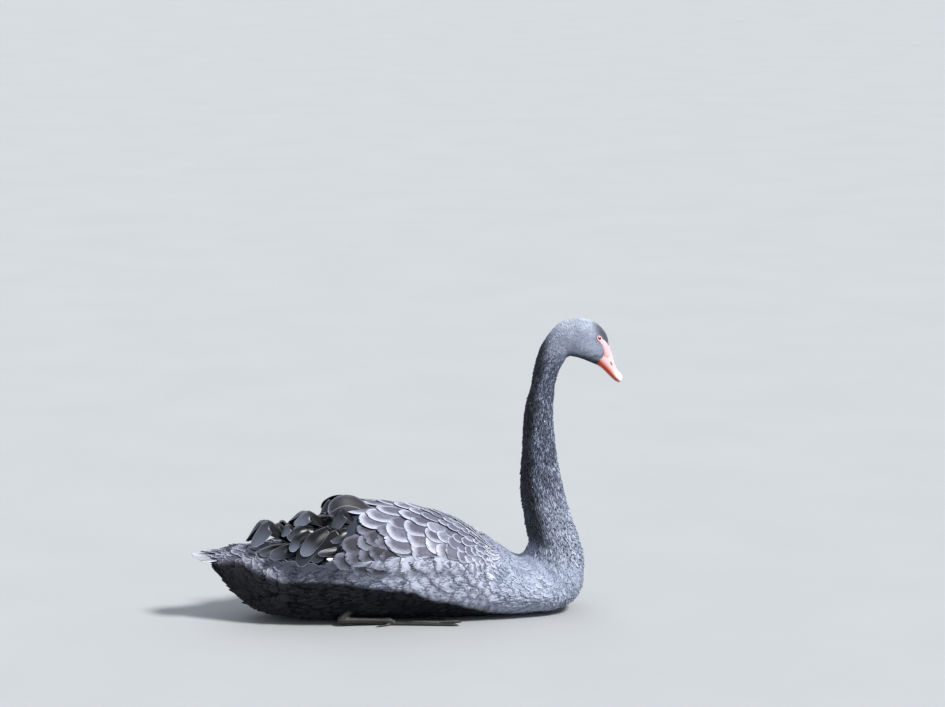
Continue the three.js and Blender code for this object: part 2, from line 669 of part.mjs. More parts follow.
function tailSolid() {
  const pieces = [tailCore()];
  for (let i = 0; i < TAIL.quills; i += 1) {
    const k = i - (TAIL.quills - 1) / 2;
    const out = Math.abs(k) / (TAIL.quills / 2);
    const turn = TAIL.spread * (k / (TAIL.quills / 2));
    pieces.push(vaneOn(onFan, {
      turn,
      from: TAIL.rootRadius,
      to: TAIL.tipRadius - TAIL.shorter * out * out,
      half: TAIL.half,
      high: TAIL.high - TAIL.fall * Math.abs(k),
      sink: 0,
      tip: 0,
      roll: -0.7 * Math.sign(k),
      cup: 0.15,
      steps: 3,
    }));
  }
  for (const tier of TAIL_COVERTS) {
    for (let i = 0; i < tier.count; i += 1) {
      const k = i - (tier.count - 1) / 2;
      const turn = (tier.spread * k) / ((tier.count - 1) / 2);
      const high = tier.high - tier.fall * Math.abs(k);
      const roll = -0.6 * Math.sign(k);
      pieces.push(vaneOn(onFan, { ...tier, turn, high, roll, sink: 0, tip: 0.4, cup: 0.15, steps: 3 }));
    }
  }
  return largest(union(pieces)).simplify(FLATNESS);
}

// The model

const leftLeg = legSolid();
const legKeepOut = legSolid(KEEP_OUT);
const leftWing = wingSolid();
const trunk = fleshBetween(0, station('neck root'), BODY_SIDES, BODY_RINGS);
const torso = largest(trunk.subtract(legKeepOut).subtract(mirrorY(legKeepOut)));

const finish = (color, roughness) => new THREE.MeshStandardMaterial({ color, roughness, metalness: 0 });
const FINISHES = {
  plumage: finish(0x3a3e47, 0.75),
  flight: finish(0x2c3038, 0.6),
  billRed: finish(0xc4512f, 0.42),
  eyeRed: finish(0x9a1d16, 0.1),
  legSkin: finish(0x1f1f21, 0.55),
};

const swan = new THREE.Group();

function addNode(name, solid, material) {
  const { vertProperties, triVerts } = solid.getMesh();
  const geometry = new THREE.BufferGeometry();
  geometry.setAttribute('position', new THREE.BufferAttribute(vertProperties, 3));
  geometry.setIndex(new THREE.BufferAttribute(triVerts, 1));
  geometry.computeVertexNormals();
  const mesh = new THREE.Mesh(geometry, material);
  mesh.name = name;
  swan.add(mesh);
}

addNode('torso', torso, FINISHES.plumage);
addNode('neck_lower', neck('neck root', 'neck quarter', NECK_RINGS.lower), FINISHES.plumage);
addNode('neck_middle', neck('neck quarter', 'neck high', NECK_RINGS.middle), FINISHES.plumage);
addNode('neck_upper', neck('neck high', 'nape', NECK_RINGS.upper), FINISHES.plumage);
addNode('head', headSolid(), FINISHES.plumage);
addNode('bill_upper', upperBill(), FINISHES.billRed);
addNode('bill_lower', lowerBill(), FINISHES.billRed);
addNode('eye_left', eyeBall(1), FINISHES.eyeRed);
addNode('eye_right', eyeBall(-1), FINISHES.eyeRed);
addNode('wing_left', leftWing, FINISHES.flight);
addNode('wing_right', mirrorY(leftWing), FINISHES.flight);
addNode('tail', tailSolid(), FINISHES.flight);
addNode('leg_left', leftLeg, FINISHES.legSkin);
addNode('leg_right', mirrorY(leftLeg), FINISHES.legSkin);

export default swan;
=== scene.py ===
"""The looks of a life-size black swan that sits on its belly: skin, coat, feathers, bill, eyes and feet.

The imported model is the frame. Forms are worked out in millimetres, with +X towards the bill, +Y to the
bird's left and +Z up, and every mesh is made in metres in the same frame.
"""

import logging
import math
from dataclasses import dataclass, field, replace
from enum import Enum
from typing import Callable, Iterable, Sequence

import bpy
import numpy as np
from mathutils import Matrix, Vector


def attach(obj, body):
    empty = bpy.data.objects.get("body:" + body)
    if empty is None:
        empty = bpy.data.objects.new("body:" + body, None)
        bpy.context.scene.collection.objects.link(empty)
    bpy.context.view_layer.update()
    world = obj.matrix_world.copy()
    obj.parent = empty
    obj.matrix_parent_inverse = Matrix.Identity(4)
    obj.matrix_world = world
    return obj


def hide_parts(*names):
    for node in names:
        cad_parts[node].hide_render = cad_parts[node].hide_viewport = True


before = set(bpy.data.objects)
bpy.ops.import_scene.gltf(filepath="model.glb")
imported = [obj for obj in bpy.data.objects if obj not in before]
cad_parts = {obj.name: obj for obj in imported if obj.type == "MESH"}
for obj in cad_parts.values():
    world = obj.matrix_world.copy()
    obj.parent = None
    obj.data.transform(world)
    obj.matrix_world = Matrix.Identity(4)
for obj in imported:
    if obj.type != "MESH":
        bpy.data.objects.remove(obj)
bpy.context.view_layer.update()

BODY = "root"
MM = 0.001
PATCH = 0.003                     # breadth of a tuft's patch on the bake map
BLADE_PATCH = 0.0016              # the same for a large feather, for each millimetre of its half breadth
FLOOR_CLEARANCE = 0.0002
FLIP = np.array([1, -1, 1])       # turns places over to the bird's other side

log = logging.getLogger("swan")

Array = np.ndarray
Colour = tuple[float, float, float, float]
Place = Callable[[Array, Array, Array], Array]


def srgb(red: int, green: int, blue: int) -> Colour:
    """A colour given as seen on a screen, from 0 to 255, as linear light.

    Args:
        red: Red share.
        green: Green share.
        blue: Blue share.

    Returns:
        The colour with full alpha.
    """
    def linear(value: int) -> float:
        """One share as linear light."""
        share = value / 255
        return share / 12.92 if share <= 0.04045 else ((share + 0.055) / 1.055) ** 2.4
    return (linear(red), linear(green), linear(blue), 1.0)


def mix(a: float | Array, b: float | Array, t: float | Array) -> float | Array:
    """The value a share t of the way from a to b."""
    return a + (b - a) * t


def smoothstep(low: float, high: float, value: float | Array) -> float | Array:
    """A smooth rise from 0 at low to 1 at high."""
    t = np.clip((value - low) / (high - low), 0.0, 1.0)
    return t * t * (3 - 2 * t)


def unit(vectors: Array) -> Array:
    """Rows of vectors, each at length 1."""
    return vectors / np.maximum(np.linalg.norm(vectors, axis=-1, keepdims=True), 1e-9)


def along(values: Sequence[float], place: Array) -> Array:
    """Values at fractional places along a list, on a smooth curve through the listed values.

    Args:
        values: The listed values.
        place: Where to read the curve; 0 is the first value and 1 the second.

    Returns:
        The values of the curve, in the shape of place.
    """
    listed = np.asarray(values, float)
    padded = np.concatenate([[2 * listed[0] - listed[1]], listed, [2 * listed[-1] - listed[-2]]])
    i = np.clip(np.floor(place).astype(int), 0, len(listed) - 2)
    t = place - i
    p0, p1, p2, p3 = (padded[i + n] for n in range(4))
    return p1 + 0.5 * t * (p2 - p0 + t * (2 * p0 - 5 * p1 + 4 * p2 - p3 + t * (3 * (p1 - p2) + p3 - p0)))


def curve(points: Sequence[Sequence[float]], place: Array) -> list[Array]:
    """The coordinates of a smooth curve through points, one array for each; place is as for along."""
    return [along(column, place) for column in zip(*points)]


def spans(line: Array) -> Array:
    """The distance along a line of points to each of them."""
    return np.concatenate([[0], np.cumsum(np.linalg.norm(np.diff(line, axis=0), axis=1))])


def evened(line: Array, count: int) -> Array:
    """That many points at even distances along a line of points."""
    span = spans(line)
    return np.stack([np.interp(np.linspace(0, span[-1], count), span, column) for column in line.T], -1)


def joined(parts: Iterable[tuple[Array, Array]]) -> tuple[Array, Array]:
    """Several surfaces as one.

    Args:
        parts: The points and faces of each.

    Returns:
        All points and all faces.
    """
    points, faces, total = [], [], 0
    for part_points, part_faces in parts:
        points.append(part_points)
        faces.append(part_faces + total)
        total += len(part_points)
    return np.concatenate(points), np.concatenate(faces)


def squares(index: Array, turned: bool = False) -> Array:
    """The faces of a grid of point numbers, by row and column.

    Args:
        index: The point numbers.
        turned: Whether the faces look the other way.

    Returns:
        One row of four point numbers for each face.
    """
    corners = [index[:-1, :-1], index[:-1, 1:], index[1:, 1:], index[1:, :-1]]
    if turned:
        corners = [corners[n] for n in (0, 3, 2, 1)]
    return np.stack(corners, -1).reshape(-1, 4)


def outwards(points: Array, faces: Array) -> tuple[Array, Array]:
    """A closed surface with its faces turned outwards, by the sign of the volume inside it.

    Args:
        points: Its points.
        faces: Its faces, all with the same number of corners.

    Returns:
        The points, and the faces turned round where they looked inwards.
    """
    base = points - points.mean(0)
    volume = 0.0
    for n in range(1, faces.shape[1] - 1):
        volume += float((base[faces[:, 0]] * np.cross(base[faces[:, n]], base[faces[:, n + 1]])).sum())
    return points, faces[:, ::-1] if volume < 0 else faces


class Side(Enum):
    """The bird's two sides, by the sign of Y."""

    LEFT = 1
    RIGHT = -1


# Node trees


class Wire:
    """A socket in a node tree that takes part in Python arithmetic."""

    def __init__(self, sheet: "NodeSheet", socket: bpy.types.NodeSocket) -> None:
        """Keeps the socket and the sheet that it belongs to."""
        self.sheet = sheet
        self.socket = socket

    def math(self, operation: str, *values: "Wire | float") -> "Wire":
        """Adds one Math node.

        Args:
            operation: The node's operation.
            values: What goes into its sockets, in order.

        Returns:
            The node's result.
        """
        return self.sheet.add("ShaderNodeMath", {"operation": operation}, dict(enumerate(values)))["Value"]

    def __add__(self, other: "Wire | float") -> "Wire":
        """self + other"""
        return self.math("ADD", self, other)

    def __sub__(self, other: "Wire | float") -> "Wire":
        """self - other"""
        return self.math("SUBTRACT", self, other)

    def __mul__(self, other: "Wire | float") -> "Wire":
        """self * other"""
        return self.math("MULTIPLY", self, other)

    def __truediv__(self, other: "Wire | float") -> "Wire":
        """self / other"""
        return self.math("DIVIDE", self, other)

    def __pow__(self, other: "Wire | float") -> "Wire":
        """self ** other"""
        return self.math("POWER", self, other)

    def __rsub__(self, other: float) -> "Wire":
        """other - self"""
        return self.math("SUBTRACT", other, self)

    def __neg__(self) -> "Wire":
        """-self"""
        return self.math("MULTIPLY", self, -1.0)

    __radd__ = __add__
    __rmul__ = __mul__

    def least(self, other: "Wire | float") -> "Wire":
        """The smaller of the two values."""
        return self.math("MINIMUM", self, other)

    def most(self, other: "Wire | float") -> "Wire":
        """The larger of the two values."""
        return self.math("MAXIMUM", self, other)

    def sine(self) -> "Wire":
        """The sine of the value."""
        return self.math("SINE", self)

    def cosine(self) -> "Wire":
        """The cosine of the value."""
        return self.math("COSINE", self)

    def size(self) -> "Wire":
        """The value without its sign."""
        return self.math("ABSOLUTE", self)

    def rise(self, low: "Wire | float", high: "Wire | float") -> "Wire":
        """A smooth rise from 0 where the value is low to 1 where it is high.

        Args:
            low: Where the rise starts.
            high: Where the rise ends; it may lie below low.

        Returns:
            The share, from 0 to 1.
        """
        share = ((self - low) / (high - low)).least(1.0).most(0.0)
        return share * share * (3.0 - 2.0 * share)


class Made:
    """A node that has been added, read by the names of its outputs."""

    def __init__(self, sheet: "NodeSheet", node: bpy.types.Node) -> None:
        """Keeps the node and its sheet."""
        self.sheet = sheet
        self.node = node

    def __getitem__(self, name: str | int) -> Wire:
        """The output with that name or number."""
        return Wire(self.sheet, self.node.outputs[name])


class NodeSheet:
    """A node tree under construction."""

    def __init__(self, tree: bpy.types.NodeTree) -> None:
        """Keeps the tree, empty of nodes."""
        self.tree = tree
        tree.nodes.clear()

    def add(self, kind: str, settings: dict | None = None, inputs: dict | None = None) -> Made:
        """Adds a node of any type.

        Args:
            kind: The node's type.
            settings: Its properties, set first.
            inputs: Values or wires by socket name or number.

        Returns:
            The node.
        """
        node = self.tree.nodes.new(kind)
        for key, value in (settings or {}).items():
            setattr(node, key, value)
        for key, value in (inputs or {}).items():
            if isinstance(value, Wire):
                self.tree.links.new(value.socket, node.inputs[key])
            else:
                node.inputs[key].default_value = value
        return Made(self, node)

    def blend(self, share: Wire | float, low: Wire | Colour, high: Wire | Colour) -> Wire:
        """Mixes two colours.

        Args:
            share: How much of the second colour.
            low: The colour at 0.
            high: The colour at 1.

        Returns:
            The mixed colour.
        """
        return self.add("ShaderNodeMix", {"data_type": "RGBA"}, {0: share, 6: low, 7: high})[2]

    def vector_math(self, operation: str, inputs: dict, output: str = "Vector") -> Wire:
        """One output of a new Vector Math node."""
        return self.add("ShaderNodeVectorMath", {"operation": operation}, inputs)[output]

    def axes(self, vector: Wire) -> tuple[Wire, Wire, Wire]:
        """The three parts of a vector."""
        parts = self.add("ShaderNodeSeparateXYZ", None, {0: vector})
        return parts["X"], parts["Y"], parts["Z"]

    def vector(self, x: Wire | float, y: Wire | float, z: Wire | float) -> Wire:
        """A vector from its three parts."""
        return self.add("ShaderNodeCombineXYZ", None, {"X": x, "Y": y, "Z": z})["Vector"]


    def attribute(self, name: str) -> Made:
        """A named attribute of the mesh."""
        return self.add("ShaderNodeAttribute", {"attribute_name": name})

    def noise(self, place: Wire, scale: float, detail: float = 2.0) -> Wire:
        """Soft noise from 0 to 1.

        Args:
            place: Where to read the noise.
            scale: How fine it is, in bumps a metre.
            detail: How many finer layers it has.

        Returns:
            The noise value.
        """
        inputs = {"Vector": place, "Scale": scale, "Detail": detail}
        return self.add("ShaderNodeTexNoise", None, inputs)["Fac"]


class Paint(NodeSheet):
    """A material under construction, with the place on the piece ready to read."""

    def __init__(self, name: str) -> None:
        """Starts a material.

        Args:
            name: Its name.
        """
        self.material = bpy.data.materials.new(name)
        self.material.use_nodes = True
        super().__init__(self.material.node_tree)
        self.place = self.add("ShaderNodeTexCoord")["Object"]

    def done(
        self, colour: Wire | Colour, roughness: Wire | float, height: Wire, relief: float,
        depth: float = 0.0005, fixed: dict | None = None,
    ) -> bpy.types.Material:
        """Joins the shader.

        Args:
            colour: The base colour.
            roughness: The roughness.
            height: What the bump follows.
            relief: The strength of the bump.
            depth: The bump's depth in metres.
            fixed: Further values on the shader's own sockets.

        Returns:
            The finished material.
        """
        bump = self.add("ShaderNodeBump", None, {"Strength": relief, "Distance": depth, "Height": height})
        inputs = {"Base Color": colour, "Roughness": roughness, "Normal": bump["Normal"], **(fixed or {})}
        shader = self.add("ShaderNodeBsdfPrincipled", None, inputs)
        self.add("ShaderNodeOutputMaterial", None, {"Surface": shader["BSDF"]})
        return self.material


# Forms that feathers grow on


class Form:
    """A smooth surface read by two numbers, u towards the bill and v round the body from the back line."""

    step_u = 0.05
    step_v = 0.02

    def points(self, u: Array, v: Array, lift: Array | float = 0.0) -> Array:
        """Places on the surface, in millimetres, raised by lift."""
        raise NotImplementedError

    def frames(self, u: Array, v: Array, lift: Array | float = 0.0) -> tuple[Array, Array, Array]:
        """Places on the surface with the directions there.

        Args:
            u: Place along the form.
            v: Place round the form.
            lift: How far off the surface, in millimetres.

        Returns:
            The points, the lie of the feathers (away from the bill) and the outward direction.
        """
        ahead = self.points(u + self.step_u, v, lift) - self.points(u - self.step_u, v, lift)
        across = self.points(u, v + self.step_v, lift) - self.points(u, v - self.step_v, lift)
        return self.points(u, v, lift), -unit(ahead), unit(np.cross(ahead, across))

    def stride(self, u: float, v: float) -> float:
        """Millimetres that one unit of u covers at a place."""
        return self._gap((u - self.step_u, u + self.step_u), (v, v)) / (2 * self.step_u)

    def girth(self, u: float, v: float) -> float:
        """Millimetres that one unit of v covers at a place."""
        return self._gap((u, u), (v - self.step_v, v + self.step_v)) / (2 * self.step_v)

    def _gap(self, u: tuple[float, float], v: tuple[float, float]) -> float:
        """The distance between two places, in millimetres."""
        start, end = self.points(np.array(u), np.array(v))
        return float(np.linalg.norm(end - start))

    def laid(self, u: float, v: float, slant: float) -> Place:
        """How a feather lies that is rooted at a place.

        Args:
            u: Place of the root along the form.
            v: Place of the root round the form.
            slant: Turn of the feather, in radians; positive turns the tip towards larger v.

        Returns:
            A function from run, across and lift, in millimetres, to places.
        """
        stride = max(self.stride(u, v), 1e-3)
        girth = max(self.girth(u, v), 1e-3)

        def place(run: Array, across: Array, lift: Array) -> Array:
            """Where parts of the feather lie.

            Args:
                run: Distances from the root.
                across: Distances across the shaft.
                lift: Distances off the surface.

            Returns:
                The places.
            """
            at_u = u - (run * math.cos(slant) - across * math.sin(slant)) / stride
            at_v = v + (run * math.sin(slant) + across * math.cos(slant)) / girth
            return self.points(at_u, at_v, lift)
        return place


@dataclass(frozen=True)
class Station:
    """A slice across the flesh: its ends on the upper and the under line, and half its width.

    full is how much wider its lower part is than its upper part.
    """

    name: str
    back: tuple[float, float]
    front: tuple[float, float]
    half: float
    full: float = 0.0


def bow(value: Array, squareness: float) -> Array:
    """A sine or cosine made a little squarer, with its sign kept."""
    return np.sign(value) * np.abs(value) ** (2 / squareness)


@dataclass
class FleshForm(Form):
    """The outside of body, neck and head, from the tail's root to the bill's root. Millimetres."""

    squareness: float = 2.25
    stations: tuple[Station, ...] = (
        Station("tail root", (-345, 140), (-348, 87), 40),
        Station("rump", (-310, 147), (-308, 42), 60),
        Station("hips", (-260, 148), (-262, 14), 86),
        Station("loins", (-180, 166), (-180, 1), 114),
        Station("rear back", (-80, 194), (-78, -4), 133),
        Station("middle back", (20, 202), (25, -5), 140),
        Station("front back", (110, 180), (125, -5), 136, 0.04),
        Station("shoulders", (180, 149), (215, -4), 126, 0.08),
        Station("crop low", (215, 125), (275, -1), 115, 0.12),
        Station("crop", (238, 110), (325, 6), 103, 0.16),
        Station("breast low", (250, 106), (360, 25), 92, 0.2),
        Station("breast", (258, 110), (376, 53), 79, 0.22),
        Station("breast high", (266, 119), (379, 90), 66, 0.2),
        Station("neck root", (271, 137), (375, 123), 55, 0.14),
        Station("neck base", (267, 158), (366, 153), 48, 0.08),
        Station("neck low", (261, 192), (353, 190), 41),
        Station("neck quarter", (254, 248), (338, 244), 35),
        Station("neck middle", (257, 318), (325, 312), 30),
        Station("neck high", (262, 399), (318, 390), 24.5),
        Station("neck bend low", (274, 448), (321, 447), 21.5),
        Station("neck bend", (280, 481), (325, 466), 21.5),
        Station("neck top", (290, 518), (330, 481), 22),
        Station("nape", (306, 548), (338, 496), 24),
        Station("back of head", (331, 574), (345, 506), 26),
        Station("crown", (360, 583.5), (352, 509), 28, 0.06),
        Station("cheek", (386, 582), (360, 508), 28, 0.14),
        Station("eye", (409, 571), (374, 504), 25, 0.18),
        Station("forehead", (425, 552), (392, 496.5), 21, 0.16),
        Station("bill root", (431, 530), (404, 491), 17, 0.05),
    )

    def at(self, name: str) -> int:
        """The place of a station."""
        return [entry.name for entry in self.stations].index(name)

    def points(self, u: Array, v: Array, lift: Array | float = 0.0) -> Array:
        """Places on the flesh.

        Args:
            u: Place along the stations.
            v: Angle, 0 on the back line and a quarter turn on the bird's left.
            lift: How far off the flesh, in millimetres.

        Returns:
            The places.
        """
        u, v, lift = np.broadcast_arrays(*(np.asarray(part, float) for part in (u, v, lift)))
        read = [(*s.back, *s.front, s.half, s.full) for s in self.stations]
        back_x, back_z, front_x, front_z, half, full = curve(read, u)
        tall = np.hypot(back_x - front_x, back_z - front_z) / 2
        up_x = (back_x - front_x) / (2 * tall)
        up_z = (back_z - front_z) / (2 * tall)
        rise = bow(np.cos(v), self.squareness)
        reach = bow(np.sin(v), self.squareness) * (half + lift) * (1 - full * rise)
        x = (back_x + front_x) / 2 + up_x * rise * (tall + lift)
        z = (back_z + front_z) / 2 + up_z * rise * (tall + lift)
        return np.stack([x, reach, np.maximum(z, -lift)], axis=-1)


@dataclass
class WingForm(Form):
    """The upper side of both folded wings, in millimetres.

    u is x, and v the share of the turn from the back line down to a little past the widest line.
    """

    step_u: float = 2.0
    squareness: float = 2.2
    turn: float = 1.62
    front: float = 196.0
    # x, height of the top line, half width, height of the widest line
    plan: tuple[tuple[float, float, float, float], ...] = (
        (196, 141, 108, 104), (126, 184, 136, 114), (60, 208, 146, 120), (-10, 222, 149, 124),
        (-80, 227, 147, 127), (-150, 220, 137, 132), (-220, 200, 112, 136), (-284, 160, 66, 140),
    )

    def slice(self, x: Array) -> list[Array]:
        """The top height, half width and height of the widest line at x."""
        table = np.asarray(self.plan, float)
        return curve(table[:, 1:], np.interp(-x, -table[:, 0], np.arange(len(table))))

    def points(self, u: Array, v: Array, lift: Array | float = 0.0) -> Array:
        """Places on the wings.

        Args:
            u: Place along the bird.
            v: Share of the turn, negative on the bird's right.
            lift: How far off the wings, in millimetres.

        Returns:
            The places.
        """
        u, v, lift = np.broadcast_arrays(*(np.asarray(part, float) for part in (u, v, lift)))
        top, half, wide = self.slice(u)
        angle = v * self.turn
        y = bow(np.sin(angle), self.squareness) * (half + lift)
        z = wide + bow(np.cos(angle), self.squareness) * (top - wide + lift)
        return np.stack([u, y, z], axis=-1)


@dataclass
class FlankForm(Form):
    """The bird's left side below the scapulars, from the lower part of the wing down to the belly.

    u is x, and v runs from 0 on the wing to 1 under the belly. It is read from a table of smoothed rings,
    which get further rounds of smoothing behind rear_from, in full strength from rear_full on.
    """

    flesh: FleshForm
    wing: WingForm
    step_u: float = 3.0
    first: float = -330.0
    last: float = 190.0
    pitch: float = 5.0
    samples: int = 61
    rounds: int = 4
    rear_rounds: int = 40
    rear_from: float = -10.0
    rear_full: float = -120.0
    # where on the wing a ring starts, in front and behind, as a share of the turn
    wing_start: tuple[float, float] = (0.83, 0.95)
    # station places and angles round the flesh that the rings are read from
    reach: tuple[float, float] = (0.0, 9.0)
    turns: tuple[float, float] = (0.9, 2.75)
    table: Array = field(init=False)

    def __post_init__(self) -> None:
        """Builds the table of rings, smooths it and keeps it."""
        rows = np.arange(self.first, self.last + self.pitch, self.pitch)
        rings = np.stack([self._ring(x) for x in rows])
        for _ in range(self.rounds):
            rings[:, 1:-1] = mix(rings[:, 1:-1], (rings[:, :-2] + rings[:, 2:]) / 2, 0.5)
            rings[1:-1] = mix(rings[1:-1], (rings[:-2] + rings[2:]) / 2, 0.5)
        share = 0.5 * smoothstep(-self.rear_from, -self.rear_full, -rows)[:, None, None]
        for _ in range(self.rear_rounds):
            rings[:, 1:-1] = mix(rings[:, 1:-1], (rings[:, :-2] + rings[:, 2:]) / 2, share)
        self.table = rings

    def _ring(self, x: float) -> Array:
        """The y and z of one ring, spaced evenly along its length.

        Args:
            x: Where the ring lies.

        Returns:
            One row for each sample.
        """
        grid = self.flesh.points(np.linspace(*self.reach, 271)[:, None], np.linspace(*self.turns, 90))
        lines = grid.swapaxes(0, 1)
        body = np.array([[np.interp(x, line[:, 0], line[:, n]) for n in (1, 2)] for line in lines])
        if x > self.wing.plan[-1][0]:
            start = mix(*self.wing_start, smoothstep(-40, 140, -x))
            upper = self.wing.points(np.full(20, x), np.linspace(start, 1.0, 20))[:, 1:]
            body = np.concatenate([upper, body[body[:, 1] < upper[-1, 1] - 9]])
        return evened(body, self.samples)

    def points(self, u: Array, v: Array, lift: Array | float = 0.0) -> Array:
        """Places on the side.

        Args:
            u: Place along the bird.
            v: Place along a ring.
            lift: How far outwards, square to the ring, in millimetres.

        Returns:
            The places.
        """
        u, v, lift = np.broadcast_arrays(*(np.asarray(part, float) for part in (u, v, lift)))
        at_row = np.clip((u - self.first) / self.pitch, 0, len(self.table) - 1.001)
        at_sample = np.clip(v * (self.samples - 1), 0, self.samples - 1.001)
        row, sample = at_row.astype(int), at_sample.astype(int)
        a, b = (at_row - row)[..., None], (at_sample - sample)[..., None]
        near = mix(self.table[row, sample], self.table[row, sample + 1], b)
        far = mix(self.table[row + 1, sample], self.table[row + 1, sample + 1], b)
        after = np.minimum(sample + 2, self.samples - 1)
        run = unit(self.table[row, after] - self.table[row, np.maximum(sample - 1, 0)])
        spot = mix(near, far, a) + np.stack([-run[..., 1], run[..., 0]], axis=-1) * lift[..., None]
        return np.stack([u, spot[..., 0], np.maximum(spot[..., 1], 0.4)], axis=-1)


# Feather finishes


class MarkingsAndPaintedLight:
    """The bird's colours by place with a painted highlight and painted shade, the same for skin and coat.
    """

    def __init__(self, sheet: Paint) -> None:
        """Keeps the sheet, and the place as three parts with a slow waver.

        Args:
            sheet: The material under construction.
        """
        self.sheet = sheet
        self.x, self.y, self.z = sheet.axes(sheet.place)
        self.waver = sheet.noise(sheet.place, 24.0, 3.0) - 0.5

    def darkness(self) -> Wire:
        """How near to black the plumage is painted, from 0 to 1: its own dark parts and painted shade
        together.

        Returns:
            The darkness of the underside and the back of the neck, each partly the plumage's own and partly
            painted shade, with painted shade under the throat and at the front of the forehead.
        """
        # Darker below a line low on the body: partly the plumage's own black, partly painted shade on the
        # underside.
        behind = (-self.x).least(0.14) * 0.14 + (-self.x - 0.25).most(0.0) * 0.45
        border = (behind - self.x.most(0.0) * 0.18 + 0.077).least(0.126) + self.waver * 0.016
        under = 1.0 - self.z.rise(border - 0.009, border + 0.007)
        # Darker down the back of the neck: partly its own colour, partly painted shade on the side away
        # from the light.
        axis = 0.273 + (0.25 - self.z).most(0.0) * 0.25 + (self.z - 0.35).most(0.0) * 0.12
        axis = axis + (self.z - 0.5).most(0.0) * 0.3
        nape = (self.x - axis + self.waver * 0.02).rise(0.009, -0.009)
        nape = nape * self.z.rise(0.118, 0.150) * self.z.rise(0.575, 0.53) * self.x.rise(0.2, 0.24)
        # Painted shade under the chin and throat.
        jaw = 0.5085 - (self.x - 0.36).most(0.0) * 0.39
        throat = (self.z - jaw).rise(0.013, 0.004) * self.x.rise(0.335, 0.35) * self.z.rise(0.47, 0.49)
        # Painted shade along the front of the forehead.
        brow = (0.4262 - self.x) * 0.815 + (0.5412 - self.z) * 0.579
        forehead = brow.rise(0.019, 0.0) * self.x.rise(0.386, 0.412) * self.z.rise(0.528, 0.538)
        return (under * 0.985).most(nape * 0.85).most(throat * 0.75).most(forehead * 0.7)

    def colours(self) -> tuple[Wire, Wire]:
        """The dark and the pale colour of the small feathers.

        Returns:
            The two colours, paler from the neck down to the breast and again on the head, paler still on
            the crown as a painted highlight, and darker on the hind part as painted shade.
        """
        blend = self.sheet.blend
        low = (self.z + (0.33 - self.x) * 0.4 + self.waver * 0.05).rise(0.32, 0.15)
        head = self.z.rise(0.495, 0.53)
        # Painted highlight: the crown's colours are paler, as where light falls on the top of the head.
        crown = (self.z + (self.x - 0.36).size() * 0.25).rise(0.55, 0.588)
        # Painted shade: the hind part's colours are darker.
        rear = self.x.rise(-0.06, -0.20)
        dark, pale = srgb(56, 62, 80), srgb(184, 196, 222)
        for share, darker, paler in (
            (low, srgb(124, 132, 152), srgb(212, 220, 238)),
            (head, srgb(140, 146, 166), srgb(212, 220, 238)),
            (crown, srgb(182, 192, 212), srgb(244, 248, 253)),
            (rear, srgb(64, 66, 78), srgb(150, 154, 172)),
        ):
            dark, pale = blend(share, dark, darker), blend(share, pale, paler)
        return dark, pale


